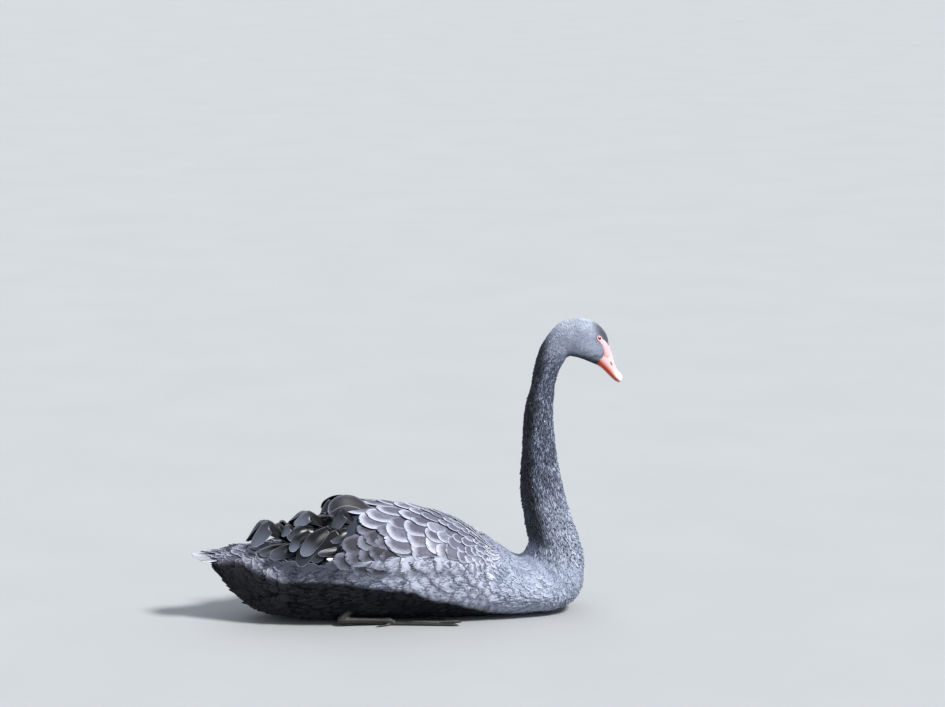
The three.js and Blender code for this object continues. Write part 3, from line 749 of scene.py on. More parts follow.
@dataclass(frozen=True)
class PlumageFinish:
    """Feathers: a darker middle, a paler fringe, fine barbs, the bird's colours by place, a painted
    reflection and painted shade.

    fringe and halo are the breadths of the pale rim and of the lighter zone inside it, in the measure of
    the mesh's distance to a feather's edge; spread is how far one feather differs from the next, and a
    finish with no centre and edge of its own takes the colours of its place on the bird, painted highlight
    and painted shade included. trim is the strength of the rim, speck of fine flecks and blotch of wide
    ones, with mottle blotches to a metre. face pales the outer half of a feather, which on the curled
    feathers is a painted sky reflection, and shaft its middle line. rear darkens the feathers of the hind
    part as painted shade, and hollow darkens the under side as painted shade.
    """

    name: str
    centre: Colour | None = None
    edge: Colour | None = None
    fringe: float = 0.15
    halo: float = 0.7
    glow: float = 0.35
    spread: float = 0.3
    roughness: float = 0.55
    sheen: float = 0.0
    barbs: float = 30.0
    relief: float = 0.3
    markings_and_shade: float = 1.0
    shaft: float = 0.0
    hollow: float = 0.6
    face: float = 0.0
    rear: float = 0.0
    mottle: float = 34.0
    blotch: float = 0.35
    specular: float = 0.5
    trim: float = 1.0
    speck: float = 0.3
    dark: Colour = srgb(14, 15, 20)

    def build(self) -> bpy.types.Material:
        """Makes the material.

        Returns:
            The new material.
        """
        sheet = Paint(self.name)
        length, across, edge = sheet.axes(sheet.attribute("vane")["Vector"])
        tone = sheet.attribute("tone")["Fac"]
        fleck = sheet.noise(sheet.place, 300.0, 3.0)
        wide = sheet.noise(sheet.place, self.mottle, 2.0)
        markings_and_shade = MarkingsAndPaintedLight(sheet)
        # The colours of the place carry a painted highlight on the crown and painted shade on the hind
        # part.
        centre, pale = (self.centre, self.edge) if self.centre else markings_and_shade.colours()
        away = edge.size()
        ripple = ((length * 1.6 + across.size()) * self.barbs).sine() * 0.5 + 0.5
        rim = 1.0 - (away + (fleck - 0.5) * self.fringe).rise(self.fringe * 0.5, self.fringe * 1.2)
        rim = rim * self.trim
        near = (1.0 - away.rise(0.0, self.halo)) * (self.glow * (0.8 + 0.4 * ripple))
        share = rim.most(near) + (tone - 0.5) * self.spread + (fleck - 0.5) * self.speck
        share = share + (wide - 0.5) * self.blotch
        if self.shaft:
            share = share + (1.0 - across.size().rise(0.015, 0.05)) * self.shaft
        # Painted reflection: on the curled feathers the paler outer half stands for the sky's reflection.
        if self.face:
            share = share + length.rise(0.45, 1.0) * (tone * 0.8 + 0.2) * self.face
        # Painted shade on the hind feathers, which spares the rim.
        shade = markings_and_shade.x.rise(-0.05, -0.17) * self.rear
        share = share - shade * 0.6 * (1.0 - rim)
        colour = sheet.blend(share.most(0.0).least(1.0), centre, pale)
        # Painted shade on the under sides of the large feathers, joined with the darkness of the place and
        # the hind part.
        inside = (-edge).rise(0.01, 0.12) * self.hollow
        dark = (markings_and_shade.darkness() * self.markings_and_shade).most(inside).most(shade * 0.5)
        colour = sheet.blend(dark, colour, self.dark)
        roughness = self.roughness + (fleck - 0.5) * 0.12
        return sheet.done(colour, roughness, ripple * 0.6 + fleck * 0.4, self.relief, fixed={
            "Sheen Weight": self.sheen, "Sheen Roughness": 0.4, "Sheen Tint": (0.86, 0.9, 1.0, 1.0),
            "Specular IOR Level": self.specular,
        })


class Feathers(Enum):
    """The kinds of feathers, each with its finish."""

    SCAPULAR = PlumageFinish(
        "scapular_feathers", srgb(84, 82, 98), srgb(218, 223, 240), 0.14, 1.6, 0.55, roughness=0.6,
        shaft=-0.05, spread=0.22, specular=0.3,
    )
    MANTLE = PlumageFinish(
        "mantle_feathers", srgb(96, 98, 116), srgb(222, 228, 242), 0.14, 0.7, 0.5, spread=0.35,
        specular=0.25,
    )
    SHOULDER = PlumageFinish(
        "shoulder_feathers", srgb(108, 114, 132), srgb(200, 208, 228), 0.1, 1.0, 0.45, spread=0.3,
        specular=0.2, roughness=0.75,
    )
    COVERT = PlumageFinish(
        "covert_feathers", srgb(50, 48, 58), srgb(160, 164, 184), 0.08, 1.3, 0.35, roughness=0.65,
        specular=0.25, spread=0.4, trim=0.8,
    )
    # rear paints shade on the hind flank, under the curled feathers.
    FLANK = PlumageFinish(
        "flank_feathers", srgb(132, 135, 153), srgb(224, 230, 246), 0.06, 2.4, 0.5, roughness=0.85,
        spread=0.22, rear=0.85, specular=0.1, trim=0.45, barbs=44, relief=0.15,
    )
    # rear paints shade on the barbs of the hind flank.
    DOWN = PlumageFinish(
        "flank_down", srgb(130, 134, 152), srgb(222, 228, 244), 0.01, 0.9, 0.3, roughness=0.85,
        spread=0.7, rear=0.9, specular=0.1,
    )
    RUMP = PlumageFinish(
        "rump_feathers", srgb(82, 81, 96), srgb(190, 196, 214), 0.1, 0.7, 0.4, roughness=0.7,
        specular=0.3,
    )
    SMALL = PlumageFinish(
        "small_feathers", fringe=0.12, halo=0.8, glow=0.3, roughness=0.75, spread=0.5, sheen=0.1,
        specular=0.2,
    )
    NECK = PlumageFinish(
        "neck_feathers", fringe=0.12, halo=0.5, glow=0.25, roughness=0.6, spread=1.4, sheen=0.1,
    )
    HEAD = PlumageFinish(
        "head_feathers", fringe=0.2, halo=0.6, glow=0.2, roughness=0.75, spread=0.6, sheen=0.2,
        mottle=110.0, blotch=0.9, specular=0.2,
    )
    # face paints a sky reflection on the curls' outer halves, and hollow paints shade on their under sides.
    GLOSSY = PlumageFinish(
        "curled_feathers", srgb(5, 6, 8), srgb(156, 164, 186), 0.1, 0.5, 0.0, 0.0, 0.3, relief=0.12,
        hollow=0.9, face=0.4, blotch=0.02, specular=0.36, trim=0.45, speck=0.02,
    )
    DEEP = PlumageFinish(
        "deep_feathers", srgb(9, 9, 13), srgb(80, 84, 98), 0.08, 0.4, 0.03, 0.1, 0.5, specular=0.25,
        blotch=0.1, speck=0.1,
    )
    RAISED = PlumageFinish(
        "raised_feathers", srgb(30, 30, 39), srgb(160, 165, 186), 0.08, 0.7, 0.14, 0.1, 0.5,
        shaft=0.35, specular=0.25, speck=0.08, blotch=0.12,
    )
    TAIL = PlumageFinish(
        "tail_feathers", srgb(84, 86, 98), srgb(214, 219, 228), 0.16, 0.6, 0.3, roughness=0.55,
        face=1.1, markings_and_shade=0.0, hollow=0.3,
    )
    UNDER = PlumageFinish(
        "under_feathers", srgb(18, 19, 24), srgb(38, 40, 48), roughness=0.75, specular=0.2,
    )
    WHITE = PlumageFinish(
        "white_quills", srgb(226, 226, 226), srgb(244, 244, 244), spread=0.05, markings_and_shade=0.0,
        hollow=0.1,
    )

Plumage = dict[Feathers, bpy.types.Material]


# Meshes from arrays


def mesh_object(
    name: str, points: Array, faces: Array, material: bpy.types.Material, smooth: bool = True,
) -> bpy.types.Object:
    """Makes a mesh object from arrays.

    Args:
        name: Name of the object and its mesh.
        points: Places in millimetres, one row each.
        faces: Vertex numbers, one row for each face, all rows of one length.
        material: Its material.
        smooth: Whether faces are shaded smooth.

    Returns:
        The object, linked to the scene.
    """
    mesh = bpy.data.meshes.new(name)
    sides = faces.shape[1]
    mesh.vertices.add(len(points))
    mesh.vertices.foreach_set("co", (points * MM).astype(np.float32).ravel())
    mesh.loops.add(faces.size)
    mesh.loops.foreach_set("vertex_index", faces.astype(np.int32).ravel())
    mesh.polygons.add(len(faces))
    mesh.polygons.foreach_set("loop_start", np.arange(0, faces.size, sides, dtype=np.int32))
    mesh.polygons.foreach_set("use_smooth", np.full(len(faces), smooth))
    mesh.update(calc_edges=True)
    mesh.validate()
    mesh.materials.append(material)
    piece = bpy.data.objects.new(name, mesh)
    bpy.context.scene.collection.objects.link(piece)
    return piece


def store(mesh: bpy.types.Mesh, name: str, kind: str, values: Array) -> None:
    """Writes a new attribute on the points of a mesh.

    Args:
        mesh: The mesh.
        name: The attribute's name.
        kind: Its type: FLOAT, FLOAT_VECTOR or INT.
        values: Its values, one row for each point.
    """
    part = "vector" if kind == "FLOAT_VECTOR" else "value"
    plain = values.astype(np.int32 if kind == "INT" else np.float32).ravel()
    mesh.attributes.new(name, kind, "POINT").data.foreach_set(part, plain)


def settle(piece: bpy.types.Object, nodes: Iterable[str] = ()) -> bpy.types.Object:
    """Hangs a finished piece on the body.

    Args:
        piece: The piece.
        nodes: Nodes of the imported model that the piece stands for.

    Returns:
        The same piece.
    """
    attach(piece, BODY)
    if nodes:
        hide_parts(*nodes)
    log.info("%s: %d faces", piece.name, len(piece.data.polygons))
    return piece


def tube(rings: Array) -> tuple[Array, Array]:
    """A closed surface through rings of points, with a fan of triangles at each end.

    Args:
        rings: Places by ring and by side, in millimetres.

    Returns:
        The points and the triangles.
    """
    count, sides, _ = rings.shape
    points = rings.reshape(-1, 3)
    index = np.arange(count * sides).reshape(count, sides)
    turned = np.roll(index, -1, axis=1)
    a, b, c, d = index[:-1], turned[:-1], turned[1:], index[1:]
    faces = [np.stack([a, b, c], -1).reshape(-1, 3), np.stack([a, c, d], -1).reshape(-1, 3)]
    ends = np.stack([rings[0].mean(0), rings[-1].mean(0)])
    first = np.full(sides, len(points))
    last = np.full(sides, len(points) + 1)
    faces.append(np.stack([turned[0], index[0], first], -1))
    faces.append(np.stack([index[-1], turned[-1], last], -1))
    return np.concatenate([points, ends]), np.concatenate(faces)


def keep_off_floor(mesh: bpy.types.Mesh) -> None:
    """Lifts the points that lie in the floor or nearly so.

    Args:
        mesh: The mesh.
    """
    places = np.zeros(len(mesh.vertices) * 3, np.float32)
    mesh.vertices.foreach_get("co", places)
    places[2::3] = np.maximum(places[2::3], FLOOR_CLEARANCE)
    mesh.vertices.foreach_set("co", places)
    mesh.update()


def made_even(piece: bpy.types.Object, finish: bpy.types.Material, voxel: float, rounds: int) -> None:
    """Makes a rough closed mesh even and soft, with one finish, and removes its modifiers.

    Args:
        piece: The piece, with the modifiers that come first.
        finish: Its material.
        voxel: The size of the new faces, in millimetres.
        rounds: How often the surface is smoothed.
    """
    remesh = piece.modifiers.new("even", "REMESH")
    remesh.mode = "VOXEL"
    remesh.voxel_size = voxel * MM
    soften = piece.modifiers.new("soften", "SMOOTH")
    soften.factor = 0.5
    soften.iterations = rounds
    make_plain(piece, piece.name)
    piece.data.materials.clear()
    piece.data.materials.append(finish)
    piece.data.polygons.foreach_set("use_smooth", np.full(len(piece.data.polygons), True))


def make_plain(piece: bpy.types.Object, name: str) -> None:
    """Puts a plain mesh in place of a piece's mesh and modifiers.

    Args:
        piece: The piece.
        name: Name of the new mesh.
    """
    rough = piece.data
    piece.data = bpy.data.meshes.new_from_object(piece.evaluated_get(bpy.context.evaluated_depsgraph_get()))
    piece.modifiers.clear()
    bpy.data.meshes.remove(rough)
    piece.data.name = name


# Large feathers, each a thin closed blade


@dataclass(frozen=True)
class Blade:
    """The shape of one large feather, in millimetres.

    sink is how deep its root lies under the surface and tip how high its tip stands, rise makes it hump,
    roll lifts the edge at larger v, cup bends both edges down, and blunt makes the tip squarer.
    """

    length: float = 1.0
    half: float = 1.0
    sink: float = 0.0
    tip: float = 0.0
    rise: float = 0.0
    roll: float = 0.0
    cup: float = 0.0
    blunt: float = 2.2
    root: float = 0.42
    round_from: float = 0.6
    fray: float = 0.03
    thick: float = 0.7

    def breadth(self, s: Array) -> Array:
        """The feather's outline.

        Args:
            s: Shares of the length.

        Returns:
            The breadth there, as a share of the full breadth.
        """
        base = mix(self.root, 1.0, smoothstep(0, 0.45, s))
        late = np.maximum(0, (s - self.round_from) / (1 - self.round_from))
        return base * np.maximum(0.02, 1 - late ** self.blunt) ** 0.5

    def height(self, s: Array) -> Array:
        """Height of the shaft off the surface at shares of the length."""
        return mix(-self.sink, self.tip, s ** 0.55) + self.rise * np.sin(math.pi * s * s)


class BladeSheet:
    """Collects large feathers and makes one mesh of them."""

    def __init__(self, rows: int = 12, columns: int = 10) -> None:
        """Works out the faces of one feather.

        Args:
            rows: Steps from root to tip.
            columns: Steps across.
        """
        self.rows = rows
        self.columns = columns
        top = np.arange((rows + 1) * (columns + 1)).reshape(rows + 1, columns + 1)
        low = top.copy()
        low[1:-1, 1:-1] = top.size + np.arange((rows - 1) * (columns - 1)).reshape(rows - 1, columns - 1)
        self.faces_of_one = np.concatenate([squares(top), squares(low, True)])
        spread = np.linspace(-1, 1, columns + 1)
        s = (1 - (1 - np.linspace(0, 1, rows + 1)) ** 1.5)[:, None]
        a = (np.sign(spread) * (1 - (1 - np.abs(spread)) ** 1.5))[None, :]
        self.s, self.a = np.broadcast_arrays(s, a)
        self.points: list[Array] = []
        self.faces: list[Array] = []
        self.vanes: list[Array] = []
        self.tones: list[Array] = []
        self.bakes: list[Array] = []
        self.total = 0

    def add(
        self, blade: Blade, place: Place, bake: tuple[float, float], rng: np.random.Generator,
        mirrored: bool = False, tone: float | None = None,
    ) -> None:
        """Adds one feather.

        Args:
            blade: Its shape.
            place: Where run, across and lift, in millimetres, lie.
            bake: Its root's place on the bake map, from 0 to 1.
            rng: Source of its small irregularities.
            mirrored: Whether it is turned over to the other side of the bird.
            tone: Its own lightness from 0 to 1, or None for a random one.
        """
        s, a = self.s, self.a
        nicks = rng.normal(0, 1, self.columns + 1)
        ripple = rng.normal(0, 1, self.rows + 1)
        half = blade.half * blade.breadth(s) * (1 + blade.fray * 0.6 * ripple[:, None] * np.abs(a))
        run = blade.length * s * (1 - blade.fray * np.abs(nicks)[None, :] * s ** 4)
        across = half * a
        bend = blade.cup * np.sin(math.pi * mix(0.25, 0.85, s)) * a * a
        ridge = 0.35 * np.exp(-(across / 1.4) ** 2) * (1 - s * 0.7)
        lift = blade.height(s) + blade.roll * a * (half / blade.half) - bend + ridge
        edge = self._edge(run, across)
        thick = blade.thick * mix(1.0, 0.5, s) * np.minimum(1, edge / (0.12 * blade.half))
        upper = place(run, across, lift)
        lower = place(run, across, lift - thick)[1:-1, 1:-1]
        points = np.concatenate([upper.reshape(-1, 3), lower.reshape(-1, 3)])
        vane = np.stack([s, a, edge / 10], -1)
        # The under side gets its edge distance negated, which the finishes read to paint shade there.
        hollow = vane[1:-1, 1:-1] * np.array([1, 1, -1])
        vane = np.concatenate([vane.reshape(-1, 3), hollow.reshape(-1, 3)])
        faces = self.faces_of_one
        if mirrored:
            points, faces = points * FLIP, faces[:, ::-1]
        patch = BLADE_PATCH * blade.half
        spot = np.array(bake) + (vane[:, :2] * np.array([1, 0.5]) - np.array([0.5, 0])) * patch
        level = float(rng.uniform()) if tone is None else tone
        self.points.append(points)
        self.faces.append(faces + self.total)
        self.vanes.append(vane)
        self.tones.append(np.full(len(points), level))
        self.bakes.append(spot)
        self.total += len(points)

    @staticmethod
    def _edge(run: Array, across: Array) -> Array:
        """The distance of each place from the feather's outline, in millimetres.

        Args:
            run: Distances from the root.
            across: Distances across the shaft.

        Returns:
            The distances; the cut at the root doesn't count.
        """
        corners = [(run[:, 0], across[:, 0]), (run[-1], across[-1]), (run[::-1, -1], across[::-1, -1])]
        outline = np.concatenate([np.stack(pair, -1) for pair in corners])
        start, way = outline[:-1], np.diff(outline, axis=0)
        spots = np.stack([run.ravel(), across.ravel()], -1)[:, None, :]
        t = np.clip(((spots - start) * way).sum(-1) / np.maximum((way ** 2).sum(-1), 1e-9), 0, 1)
        gap = spots - (start + t[..., None] * way)
        return np.sqrt((gap ** 2).sum(-1)).min(-1).reshape(run.shape)

    def build(self, name: str, material: bpy.types.Material) -> bpy.types.Object:
        """Makes the mesh of all feathers added.

        Args:
            name: Name of the piece.
            material: Its finish.

        Returns:
            The piece.
        """
        points = np.concatenate(self.points)
        points[:, 2] = np.maximum(points[:, 2], FLOOR_CLEARANCE / MM)
        piece = mesh_object(name, points, np.concatenate(self.faces), material)
        mesh = piece.data
        store(mesh, "vane", "FLOAT_VECTOR", np.concatenate(self.vanes))
        store(mesh, "tone", "FLOAT", np.concatenate(self.tones))
        bake = mesh.uv_layers.new(name="OFBake")
        corners = np.zeros(len(mesh.loops), np.int32)
        mesh.loops.foreach_get("vertex_index", corners)
        bake.data.foreach_set("uv", np.concatenate(self.bakes)[corners].astype(np.float32).ravel())
        return piece


@dataclass(frozen=True)
class Plume:
    """A feather that stands free of the body, on the bird's left. Millimetres and degrees.

    spine holds points along its shaft from the root. roll lifts its outer edge, at the root and at the
    tip, so that a feather with a roll of -90 faces outwards; cup is the angle that half its breadth
    bends down through.
    """

    spine: tuple[tuple[float, float, float], ...]
    half: float
    roll: tuple[float, float]
    cup: float
    tone: float = 0.5
    steps: int = 40

    def length(self) -> float:
        """The length of the shaft."""
        return float(np.linalg.norm(np.diff(self._shaft(), axis=0), axis=1).sum())

    def _shaft(self) -> Array:
        """Points along the shaft, evenly spaced."""
        fine = np.linspace(0, len(self.spine) - 1, 200)
        return evened(np.stack(curve(self.spine, fine), -1), self.steps + 1)

    def place(self, drop: float = 0.0) -> Place:
        """How the feather lies.

        Args:
            drop: How much lower it is set, in millimetres.

        Returns:
            A function from run, across and lift, in millimetres, to places.
        """
        shaft = self._shaft() - np.array([0, 0, drop])
        way = unit(np.gradient(shaft, axis=0))
        outer = np.array([0.0, 1.0, 0.0])
        level = unit(outer - way * way[:, 1:2])
        above = np.cross(level, way)
        turn = np.radians(np.linspace(self.roll[0], self.roll[1], self.steps + 1))[:, None]
        side = level * np.cos(turn) + above * np.sin(turn)
        out = above * np.cos(turn) - level * np.sin(turn)
        spots = np.linspace(0, self.length(), self.steps + 1)
        bend = math.radians(max(self.cup, 1)) / self.half

        def place(run: Array, across: Array, lift: Array) -> Array:
            """Where parts of the feather lie.

            Args:
                run: Distances from the root.
                across: Distances across the shaft.
                lift: Distances off the blade.

            Returns:
                The places.
            """
            base, sideways, upwards = (
                np.stack([np.interp(run, spots, column) for column in table.T], -1)
                for table in (shaft, side, out)
            )
            reach = (np.sin(across * bend) / bend)[..., None]
            fall = ((1 - np.cos(across * bend)) / bend)[..., None]
            return base + sideways * reach + upwards * (lift[..., None] - fall)
        return place


@dataclass(frozen=True)
class Bed:
    """Large feathers laid in rows over a form, each row shifted by half a column.

    A row of the plan holds a place along the form, then the step to the next row, the breadth of a
    column, the length and half breadth of a feather, its slant towards the belly, and the least and the
    largest v of the roots there. Feathers with a v below tuck and behind tuck_behind lie deeper, by
    tuck_depth. blade is the feathers' shape, and its size comes from the plan. fan moves the roots of the
    lower feathers forwards, by a share of their distance to the first row, and curve moves the roots
    between back line and belly forwards or back. uneven is how much the tips' heights differ and turned
    how much their directions do. both lays right and left apart, and otherwise the right side mirrors the
    left.
    """

    plan: tuple[tuple[float, ...], ...]
    blade: Blade
    seed: int
    curve: float = 0.0
    uneven: float = 0.5
    turned: float = 0.05
    reference: float = 0.4
    tuck: float = 0.0
    tuck_depth: float = 0.0
    tuck_behind: float = 0.0
    fan: float = 0.0
    lean_from: float = 0.2
    both: bool = True

    def _plan(self, u: float) -> list[float]:
        """The columns of the plan at u."""
        table = np.asarray(self.plan, float)
        return [float(np.interp(-u, -table[:, 0], table[:, n])) for n in range(1, table.shape[1])]

    def lay(
        self, form: Form, sheet_at: Callable[[float], BladeSheet], barbs: "Barbs | None" = None,
    ) -> None:
        """Lays the feathers.

        Args:
            form: The surface.
            sheet_at: The sheet that takes the feathers rooted at a place along the form.
            barbs: Where loose barbs along the feathers' edges are collected.
        """
        rng = np.random.default_rng(self.seed)
        first, last = self.plan[0][0], self.plan[-1][0]
        u, row = first, 0
        while u > last:
            step, wide, length, half, slant, least, largest = self._plan(u)
            girth = form.girth(u, self.reference)
            count = int(math.ceil(largest * girth / wide)) + 1
            for n in range(-count if self.both else 0, count + 1):
                v = (n + 0.5 * (row % 2)) * wide / girth + rng.normal(0, 0.05) * wide / girth
                if not least <= abs(v) <= largest:
                    continue
                side = 1 if v >= 0 else -1
                size = rng.uniform(0.9, 1.1)
                tucked = float(smoothstep(self.tuck, self.tuck * 0.4, abs(v))) if self.tuck else 0.0
                tucked *= float(smoothstep(0, 50, self.tuck_behind - u))
                blade = replace(
                    self.blade, length=length * size, half=half * size,
                    sink=self.blade.sink + half * 0.08 + self.tuck_depth * tucked,
                    tip=self.blade.tip + rng.normal(0, self.uneven) - self.tuck_depth * 0.3 * tucked,
                    roll=side * self.blade.roll * half / 20, cup=self.blade.cup * half / 20,
                )
                at = u + (first - u) * self.fan * abs(v) ** 3
                at -= self.curve * math.sin(math.pi * min(abs(v), 1))
                at = min(at + rng.normal(0, 0.05) * step, first)
                lean = slant * min(1.0, abs(v) / self.lean_from) + rng.normal(0, self.turned)
                place = form.laid(at, v, side * lean)
                bake = (0.02 + 0.96 * (first - u) / (first - last), 0.5 + v / largest * 0.47)
                sheet = sheet_at(u)
                for mirrored in ((False,) if self.both else (False, True)):
                    spot = (bake[0], 1 - bake[1]) if mirrored else bake
                    tone = float(rng.uniform())
                    sheet.add(blade, place, spot, rng, mirrored, tone)
                    if barbs and tucked < 0.3:
                        barbs.add(blade, place, spot, rng, mirrored, tone)
            u -= step / max(form.stride(u, self.reference), 1e-3)
            row += 1


# Small feathers, set by Geometry Nodes


@dataclass
class Roots:
    """The roots of many small feathers: places and directions, sizes in millimetres, and bake places."""

    points: Array
    lie: Array
    out: Array
    size: Array
    tone: Array
    bake: Array

    def kept(self, keep: Array) -> "Roots":
        """The roots for which keep is true."""
        return Roots(*(values[keep] for values in vars(self).values()))

    @staticmethod
    def joined(parts: Sequence["Roots"]) -> "Roots":
        """All the roots of the parts."""
        return Roots(*(np.concatenate(values) for values in zip(*(vars(part).values() for part in parts))))


@dataclass
class Barbs:
    """Loose barbs that stand out from the edges of soft feathers."""

    count: int = 32
    length: float = 0.26
    half: float = 0.5
    parts: list[Roots] = field(default_factory=list)

    def add(
        self, blade: Blade, place: Place, bake: tuple[float, float], rng: np.random.Generator,
        mirrored: bool, tone: float,
    ) -> None:
        """Adds the barbs of one feather.

        Args:
            blade: The feather's shape.
            place: How it lies.
            bake: Its root's place on the bake map.
            rng: Source of the irregularities.
            mirrored: Whether it is on the other side of the bird.
            tone: Its lightness.
        """
        t = np.linspace(-1, 1, self.count) + rng.normal(0, 0.06, self.count)
        s = np.clip(0.95 - 0.5 * np.abs(t) ** 1.6, 0.3, 0.97)
        run = blade.length * s * 0.84
        across = blade.half * blade.breadth(s) * np.sign(t) * np.minimum(1, np.abs(t) ** 0.6) * 0.8
        lift = blade.height(s) - blade.cup * (across / blade.half) ** 2 + 0.3
        turn = t * 0.5 + rng.normal(0, 0.15, self.count)
        points = place(run, across, lift)
        lie = unit(place(run + np.cos(turn), across + np.sin(turn), lift) - points)
        side = place(run - np.sin(turn), across + np.cos(turn), lift) - points
        out = unit(np.cross(side, lie))
        lie = unit(lie + out * rng.normal(0.04, 0.06, self.count)[:, None])
        length = blade.length * self.length * rng.uniform(0.7, 1.3, self.count)
        half = self.half * rng.uniform(0.7, 1.3, self.count)
        if mirrored:
            points, lie, out = points * FLIP, lie * FLIP, out * FLIP
        spots = np.array(bake) + rng.uniform(-0.4, 0.4, (self.count, 2)) * BLADE_PATCH * blade.half
        size = np.stack([length, half, length], -1)
        self.parts.append(Roots(points, lie, out, size, np.full(self.count, 0.3 + 0.7 * tone), spots))


def soft_noise(rng: np.random.Generator, a: Array, b: Array) -> Array:
    """Smooth noise from 0 to 1 over two coordinates.

    Args:
        rng: Source of the lattice.
        a: First coordinate, one unit a bump.
        b: Second coordinate.

    Returns:
        The noise at each pair.
    """
    lattice = rng.uniform(0, 1, (64, 64))
    i, j = np.floor(a).astype(int), np.floor(b).astype(int)
    p, q = smoothstep(0, 1, a - i), smoothstep(0, 1, b - j)
    low = mix(lattice[i % 64, j % 64], lattice[i % 64, (j + 1) % 64], q)
    high = mix(lattice[(i + 1) % 64, j % 64], lattice[(i + 1) % 64, (j + 1) % 64], q)
    return mix(low, high, p)


@dataclass(frozen=True)
class Coat:
    """A stretch of small feathers between two places on a form. Pairs are values at start and end."""

    name: str
    start: float
    end: float
    spacing: tuple[float, float]
    length: tuple[float, float]
    half: tuple[float, float]
    sink: tuple[float, float]
    ruffle: float = 0.1
    curl: float = 0.12
    rows: float = 0.8
    # length and breadth of a streak of like feathers, and how much of the tone follows it
    streak: tuple[float, float, float] = (22.0, 9.0, 0.6)

    def scatter(self, form: Form, rng: np.random.Generator, top: float) -> Roots:
        """Sets roots in rows, each row shifted by half a space.

        Args:
            form: The surface.
            rng: Source of the irregularities.
            top: The form's highest u, for the bake map.

        Returns:
            The roots.
        """
        place, row, gone = self.end, 0, 0.0
        found = []
        turns = np.linspace(0, 2 * math.pi, 181)
        while place > self.start:
            t = (place - self.start) / (self.end - self.start)
            spacing = mix(self.spacing[0], self.spacing[1], t)
            ring = form.points(np.full(181, place), turns)
            span = spans(ring)
            count = max(3, int(round(span[-1] / spacing)))
            spots = (np.arange(count) + 0.5 * (row % 2) + rng.uniform(-0.3, 0.3, count)) / count * span[-1]
            v = np.interp(np.mod(spots, span[-1]), span, turns)
            stride = max(form.stride(place, angle) for angle in (turns[20], turns[90]))
            pitch = spacing * self.rows / stride
            u = place + rng.uniform(-0.35, 0.35, count) * pitch
            found.append(np.stack([u, v, np.full(count, t), np.full(count, gone), spots], -1))
            place -= pitch
            gone += spacing * self.rows
            row += 1
        u, v, t, gone_by, spots = np.concatenate(found).T
        many = len(u)
        sink = mix(self.sink[0], self.sink[1], t)
        points, lie, out = form.frames(u, v, -sink)
        length = mix(self.length[0], self.length[1], t) * rng.uniform(0.8, 1.2, many)
        half = mix(self.half[0], self.half[1], t) * rng.uniform(0.8, 1.2, many)
        tilt = sink / length + self.curl + rng.normal(0, self.ruffle, many) * 0.4
        lie = unit(lie + np.cross(out, lie) * rng.normal(0, self.ruffle, many)[:, None])
        leaning = unit(lie * np.cos(tilt)[:, None] + out * np.sin(tilt)[:, None])
        streak = smoothstep(0.25, 0.75, soft_noise(rng, gone_by / self.streak[0], spots / self.streak[1]))
        tone = mix(rng.uniform(0, 1, many), streak, self.streak[2])
        bake = 0.01 + 0.98 * np.stack([np.clip(u / top, 0, 1), v / (2 * math.pi)], -1)
        return Roots(points, leaning, out, np.stack([length, half, length], -1), tone, bake)


